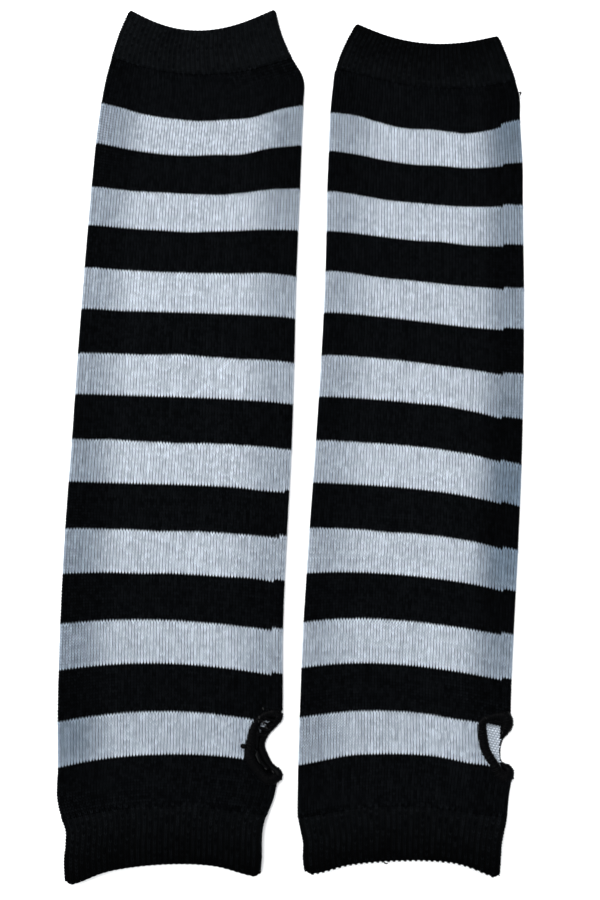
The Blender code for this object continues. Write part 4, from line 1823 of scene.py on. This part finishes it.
@dataclass
class RibWelt:
    """A rib welt that is turned double at the open end of a warmer."""

    pattern: Pattern
    solid: str
    title: str
    seam_name: str
    edge_name: str
    cloth: Cloth = Cloth(0.0018, 0.0048, 0.0005)
    ribs: int = 34
    fold_ribs: int = 2
    points_a_rib: int = 6
    rib_height: float = 0.00042
    lip_rib: float = 0.4
    course_pitch: float = 1.1
    corner_radius: float = 1.2
    lip_steps: int = 6
    rows: int = 9
    bed_depth: float = 0.00012
    stitched_lip: bool = True
    stitch_sink: float = 0.0002
    stitch_width: float = 1.08
    # Painted shade of the welt's colour: the first field is its full amount at the open edge, the second
    # its share at the seam.
    shade: float = 0.0
    seam_shade: float = 0.3
    back_relief: float = 0.25
    crest_power: float = 0.7
    lip_fade: float = 1.5
    bed_seed: int = 5
    yarn_seed: int = 7

    def __post_init__(self) -> None:
        """Works out the welt's profile."""
        self.form = FlatForm(self.pattern, self.cloth)
        self.seam = self.pattern.along(self.seam_name)
        self.edge = self.pattern.along(self.edge_name)
        self.outwards = 1.0 if self.edge > self.seam else -1.0
        self.lip = self.cloth.wall / 2 / MM
        self.straight = abs(self.edge - self.seam) - self.lip
        self.round_lip = math.pi * self.lip

    def surface(self, distance: np.ndarray, around: np.ndarray, lift: np.ndarray) -> np.ndarray:
        """Points on the welt.

        Args:
            distance: Way from the seam over the outer face, round the lip and back inside, in
                millimetres.
            around: Place round the section, from 0 to 4.
            lift: How far outside the face, in metres.

        Returns:
            An array of points in metres, one a row.
        """
        turn = np.clip((distance - self.straight) / self.lip, 0.0, math.pi)
        back = np.maximum(distance - self.straight - self.round_lip, 0.0)
        reach = np.minimum(distance, self.straight) + self.lip * np.sin(turn) - back
        around = np.mod(around, 4.0)
        rounding = self.rounding(around) * np.clip(reach / self.straight, 0.0, 1.0) ** 3
        along = self.seam + self.outwards * (reach + lift / MM * np.sin(turn) - rounding)
        depth = -self.lip * MM * (1.0 - np.cos(turn))
        below = np.where((around > 2.0) & (around < 3.0), self.back_relief, 1.0)
        return self.form.place(along, around, depth + lift * np.cos(turn) * below)

    def rounding(self, around: np.ndarray) -> np.ndarray:
        """How far the rounded corners fall short of the open edge, in millimetres.

        Args:
            around: Places round the section, from 0 to 4.

        Returns:
            A distance for each place.
        """
        columns = self.form.columns(np.array([self.edge]))[0]
        half = self.form.half / MM
        share = np.where(around < 2.0, around, around - 2.0)
        on_face = half + np.minimum(share, 1.0 - share) * (columns[RIGHT_X] - columns[LEFT_X])
        on_fold = half * (1.0 - np.sin(np.pi * (share - 1.0)))
        from_fold = np.where(share > 1.0, on_fold, on_face)
        inside = np.clip(self.corner_radius - from_fold, 0.0, self.corner_radius)
        return self.corner_radius - np.sqrt(self.corner_radius ** 2 - inside ** 2)

    def rib(self, around: np.ndarray, distance: np.ndarray) -> np.ndarray:
        """Height of the ribs over the face, in metres, less at the lip.

        Args:
            around: Places round the section, from 0 to 4.
            distance: Way from the seam, in millimetres.

        Returns:
            A height for each place, zero on a rib's crest.
        """
        crest = np.abs(np.sin(np.pi * counted_round(around, self.ribs, self.fold_ribs))) ** self.crest_power
        at_lip = np.clip((distance - self.straight + self.lip_fade) / self.lip_fade, 0.0, 1.0)
        return self.rib_height * (crest - 1.0) * (1.0 - (1.0 - self.lip_rib) * at_lip)

    def shading(self, distance: np.ndarray) -> np.ndarray:
        """Painted shade: how much the yarn's colour is darkened, from part of it at the seam to all of it
        at the open edge.
        """
        share = np.clip(distance / self.straight, 0.0, 1.0)
        return self.shade * (self.seam_shade + (1.0 - self.seam_shade) * share)

    def shell(self, name: str) -> bpy.types.Object:
        """The welt's closed ribbed shell.

        Args:
            name: The object's name.

        Returns:
            The shell, linked to the scene.
        """
        steps = steps_round(self.ribs * self.points_a_rib, self.fold_ribs * self.points_a_rib)
        lip_start, lip_end = self.straight, self.straight + self.round_lip
        distances = np.concatenate([
            np.linspace(0.0, lip_start, self.rows, endpoint=False),
            np.linspace(lip_start, lip_end, self.lip_steps, endpoint=False),
            np.linspace(lip_end, lip_end + self.straight, self.rows)])
        around, distance = np.meshgrid(steps, distances)
        lift = self.rib(around, distance) - self.bed_depth
        grid = self.surface(distance.ravel(), around.ravel(), lift.ravel()).reshape(*distance.shape, 3)
        wale = np.append(steps, 4.0) * self.ribs
        course = np.append(distances, distances[0]) / self.course_pitch
        u, v = np.meshgrid(wale, course)
        inside = (distance > self.straight + self.round_lip / 2).astype(float)
        # The outer face gets painted shade as under stitches (bedded) and the welt's painted shade (side).
        attributes = {"inside": inside, "bedded": 1.0 - inside, "side": self.shading(distance)}
        return grid_shell(name, grid, np.stack([u, v], axis=-1), attributes)

    def stitch_bed(self) -> StitchBed:
        """Points for the stitches on the ribs of the front and the folds, as far as the lip.

        Returns:
            The points.
        """
        random = np.random.default_rng(self.pattern.seed + self.bed_seed)
        centres = (np.arange(self.ribs) + 0.5) / self.ribs
        on_fold = 0.5 / self.fold_ribs
        arounds = np.concatenate([centres, [1.0 + on_fold, 4.0 - on_fold]])
        past = self.round_lip / 2 if self.stitched_lip else -self.course_pitch
        distances = np.arange(-self.course_pitch / 2, self.straight + past, self.course_pitch)
        around, distance = every_pair(arounds, distances)
        half_wale = np.full(len(around), 0.25 / self.ribs)
        lift = np.full(len(around), -self.stitch_sink)
        points, up, normal, _ = frames_on(self.surface, distance, around, lift,
                                          self.course_pitch / 2, half_wale)
        span = np.ones((len(around), 3))
        span[:, 0] = self.stitch_width
        span[:, 1] = self.course_pitch * MM / StitchForm.course_pitch
        tone = random.uniform(size=len(around))
        # Painted shade of the welt, as attribute side.
        side = self.shading(distance)
        return StitchBed(points, self.outwards * up, self.outwards * normal, span, tone, side)

    def build(self, tools: Tools) -> None:
        """Makes the welt's shell and its stitches.

        Args:
            tools: Stitches, trees and materials.
        """
        pattern = self.pattern
        shell = self.shell(pattern.name(self.title))
        shell.data.materials.append(tools.rib_bed)
        stitches = tools.lay(self.stitch_bed(), pattern.name(f"{self.title}_stitches"), Yarn.BLACK,
                             pattern.seed + self.yarn_seed)
        for piece in (shell, stitches):
            finish_piece(piece)
        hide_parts(pattern.name(self.solid))
        columns = self.form.columns(np.array([(self.seam + self.edge) / 2]))[0]


@dataclass
class ThreadEnds:
    """Loose bits of thread and yarn across the slit, at the seams and at the open edges, and pale yarn bits
    by the left slit's front roll that are painted highlights where its glossy thread glints.
    """

    pattern: Pattern
    steps: int = 10
    sides: int = 8
    upright: Place = (0.13, 0.09, 1.0)

    def strand(self, row: Strand) -> bpy.types.Object:
        """One bit, thinner at its two ends, along a curve through its middle.

        Args:
            row: The bit's row in the table.

        Returns:
            The bit, linked to the scene.
        """
        share = np.linspace(0.0, 1.0, self.steps)
        start, middle, end = (np.array(place) * MM for place in (row.start, row.middle, row.end))
        bend = 2 * middle - (start + end) / 2
        t = share[:, None]
        points = (1 - t) ** 2 * start + 2 * t * (1 - t) * bend + t ** 2 * end
        ahead = unit(np.gradient(points, axis=0))
        sideways = unit(np.cross(ahead, self.upright))
        upwards = np.cross(sideways, ahead)
        radius = row.radius * MM * np.sqrt(np.clip(1.0 - (2 * share - 1) ** 4, 0.0, 1.0))
        mesh = bmesh.new()
        uv = mesh.loops.layers.uv.new("UVMap")
        tips = [mesh.verts.new(points[0]), mesh.verts.new(points[-1])]
        turns = 2 * np.pi * np.arange(self.sides) / self.sides
        rings = []
        for k in range(1, self.steps - 1):
            outs = np.outer(np.cos(turns), sideways[k]) + np.outer(np.sin(turns), upwards[k])
            rings.append([mesh.verts.new(points[k] + radius[k] * out) for out in outs])
        for i in range(self.sides):
            following = (i + 1) % self.sides
            mesh.faces.new((tips[0], rings[0][following], rings[0][i]))
            mesh.faces.new((tips[1], rings[-1][i], rings[-1][following]))
            for low, high in zip(rings, rings[1:]):
                mesh.faces.new((low[i], low[following], high[following], high[i]))
        for face in mesh.faces:
            for loop in face.loops:
                loop[uv].uv = (loop.vert.co.x / MM, loop.vert.co.y / MM)
        return linked(self.pattern.name(row.name), mesh_of(mesh, row.name))

    def build(self, tools: Tools) -> None:
        """Makes every bit in the warmer's table.

        Args:
            tools: Stitches, trees and materials.
        """
        for row in self.pattern.strands:
            piece = self.strand(row)
            silver = row.yarn is Yarn.SILVER
            piece.data.materials.append(tools.silver if silver else tools.thread)
            finish_piece(piece)


@dataclass(frozen=True)
class Lamp:
    """A square soft light that faces the garment: place and size in metres, power in watts."""

    name: str
    place: Place
    size: float
    power: float


@dataclass
class Studio:
    """Pale floor, soft light and a camera that stands as the photographer's did."""

    lamps: tuple[Lamp, ...] = (
        Lamp("overhead", (-0.25, 0.45, 1.25), 0.7, 18.0),
        Lamp("window", (-0.9, -0.3, 0.8), 0.5, 5.0),
    )
    surround: Colour = (0.97, 0.985, 1.0, 1.0)
    surround_strength: float = 0.9
    floor_size: float = 6.0
    floor_gap: float = 0.00005
    floor_low: Colour = (0.86, 0.87, 0.88, 1.0)
    floor_high: Colour = (0.92, 0.92, 0.92, 1.0)
    floor_roughness: float = 0.9
    floor_specular: float = 0.1
    cloud_scale: float = 2.0
    pixels_long: float = 900.0
    focal_pixels: float = 875.0
    sensor: float = 36.0
    elevation: float = 81.6
    distance: float = 0.368
    target: Place = (0.0, -0.015, 0.0)
    nearest: float = 0.01

    def floor(self) -> None:
        """A pale floor with a faint unevenness of tone."""
        bpy.ops.mesh.primitive_plane_add(size=self.floor_size, location=(0.0, 0.0, -self.floor_gap))
        floor = bpy.context.object
        floor.name = "floor"
        material, build, shader = principled("pale_floor")
        cloud = build.noise(build.add("ShaderNodeTexCoord").outputs["Object"], self.cloud_scale, 2.0)
        build.feed(shader, {
            "Base Color": build.mix(cloud, self.floor_low, self.floor_high),
            "Roughness": self.floor_roughness,
            "Specular IOR Level": self.floor_specular,
        })
        floor.data.materials.append(material)

    def lights(self) -> None:
        """Soft lights from overhead, towards the upper arms, and a pale surround."""
        for lamp in self.lamps:
            data = bpy.data.lights.new(lamp.name, "AREA")
            data.size = lamp.size
            data.energy = lamp.power
            light = linked(lamp.name, data)
            light.location = lamp.place
            light.rotation_mode = "QUATERNION"
            light.rotation_quaternion = Vector(lamp.place).to_track_quat("Z", "Y")
        world = bpy.data.worlds.new("surround")
        world.use_nodes = True
        background = world.node_tree.nodes["Background"]
        feeds = {"Color": self.surround, "Strength": self.surround_strength}
        TreeBuilder(world.node_tree).feed(background, feeds)
        bpy.context.scene.world = world

    def camera(self) -> None:
        """The camera, looking down and a little towards the upper arms."""
        data = bpy.data.cameras.new("camera")
        data.sensor_width = self.sensor
        data.lens = self.focal_pixels * self.sensor / self.pixels_long
        data.clip_start = self.nearest
        camera = linked("camera", data)
        lean = math.radians(self.elevation)
        back = Vector((0.0, -math.cos(lean), math.sin(lean)))
        camera.location = Vector(self.target) + back * self.distance
        camera.rotation_mode = "QUATERNION"
        camera.rotation_quaternion = (-back).to_track_quat("-Z", "Y")
        bpy.context.scene.camera = camera

    def build(self) -> None:
        """Sets up the stage."""
        self.floor()
        self.lights()
        self.camera()
        bpy.context.scene.view_settings.view_transform = "Standard"


def main() -> None:
    """Builds the stage and both warmers."""
    logging.basicConfig(level=logging.INFO, format="%(name)s %(message)s")
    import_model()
    Studio().build()
    tools = Tools(
        # Each yarn's painted shade colour is what its colour is darkened towards by the folds and on the
        # welts, bluish for the silver.
        silver=YarnFinish(
            "silver_yarn", low=(0.42, 0.465, 0.53, 1.0), high=(0.83, 0.895, 0.98, 1.0),
            folded=(0.0, 0.09, 0.17, 1.0), roughness=0.6, specular=0.2, sheen=0.05).material(),
        black=YarnFinish(
            "black_yarn", low=(0.0008, 0.0011, 0.0015, 1.0), high=(0.0065, 0.0077, 0.0092, 1.0),
            folded=(0.3, 0.3, 0.3, 1.0), roughness=0.9, specular=0.012, sheen=0.0).material(),
        bed=BedFinish(
            "striped_cloth", black=(0.0015, 0.002, 0.0025, 1.0), silver=(0.38, 0.425, 0.48, 1.0),
            first_silver=18.0).material(),
        rib_bed=BedFinish(
            "rib_cloth", black=(0.0075, 0.009, 0.0105, 1.0), silver=(0.0075, 0.009, 0.0105, 1.0),
            first_silver=0.0).material(),
        thread=ThreadFinish("edging_thread_black", colour=(0.0014, 0.0015, 0.0018, 1.0)).material(),
    )
    for pattern in PATTERNS:
        tube = StripedTube(pattern)
        tube.build(tools)
        tube.slit.build(tools)
        # shade is the painted shade of each welt's colour.
        RibWelt(pattern, "hand_welt", "hand_rib", "hand welt seam", "hand edge", corner_radius=3.2,
                shade=0.9).build(tools)
        RibWelt(pattern, "upper_welt", "upper_rib", "upper welt seam", "upper edge", lip_rib=0.25,
                stitched_lip=False, shade=0.15 if pattern.side is Side.LEFT else 0.8).build(tools)
        ThreadEnds(pattern).build(tools)
    tools.put_away()


if __name__ == "__main__":
    main()
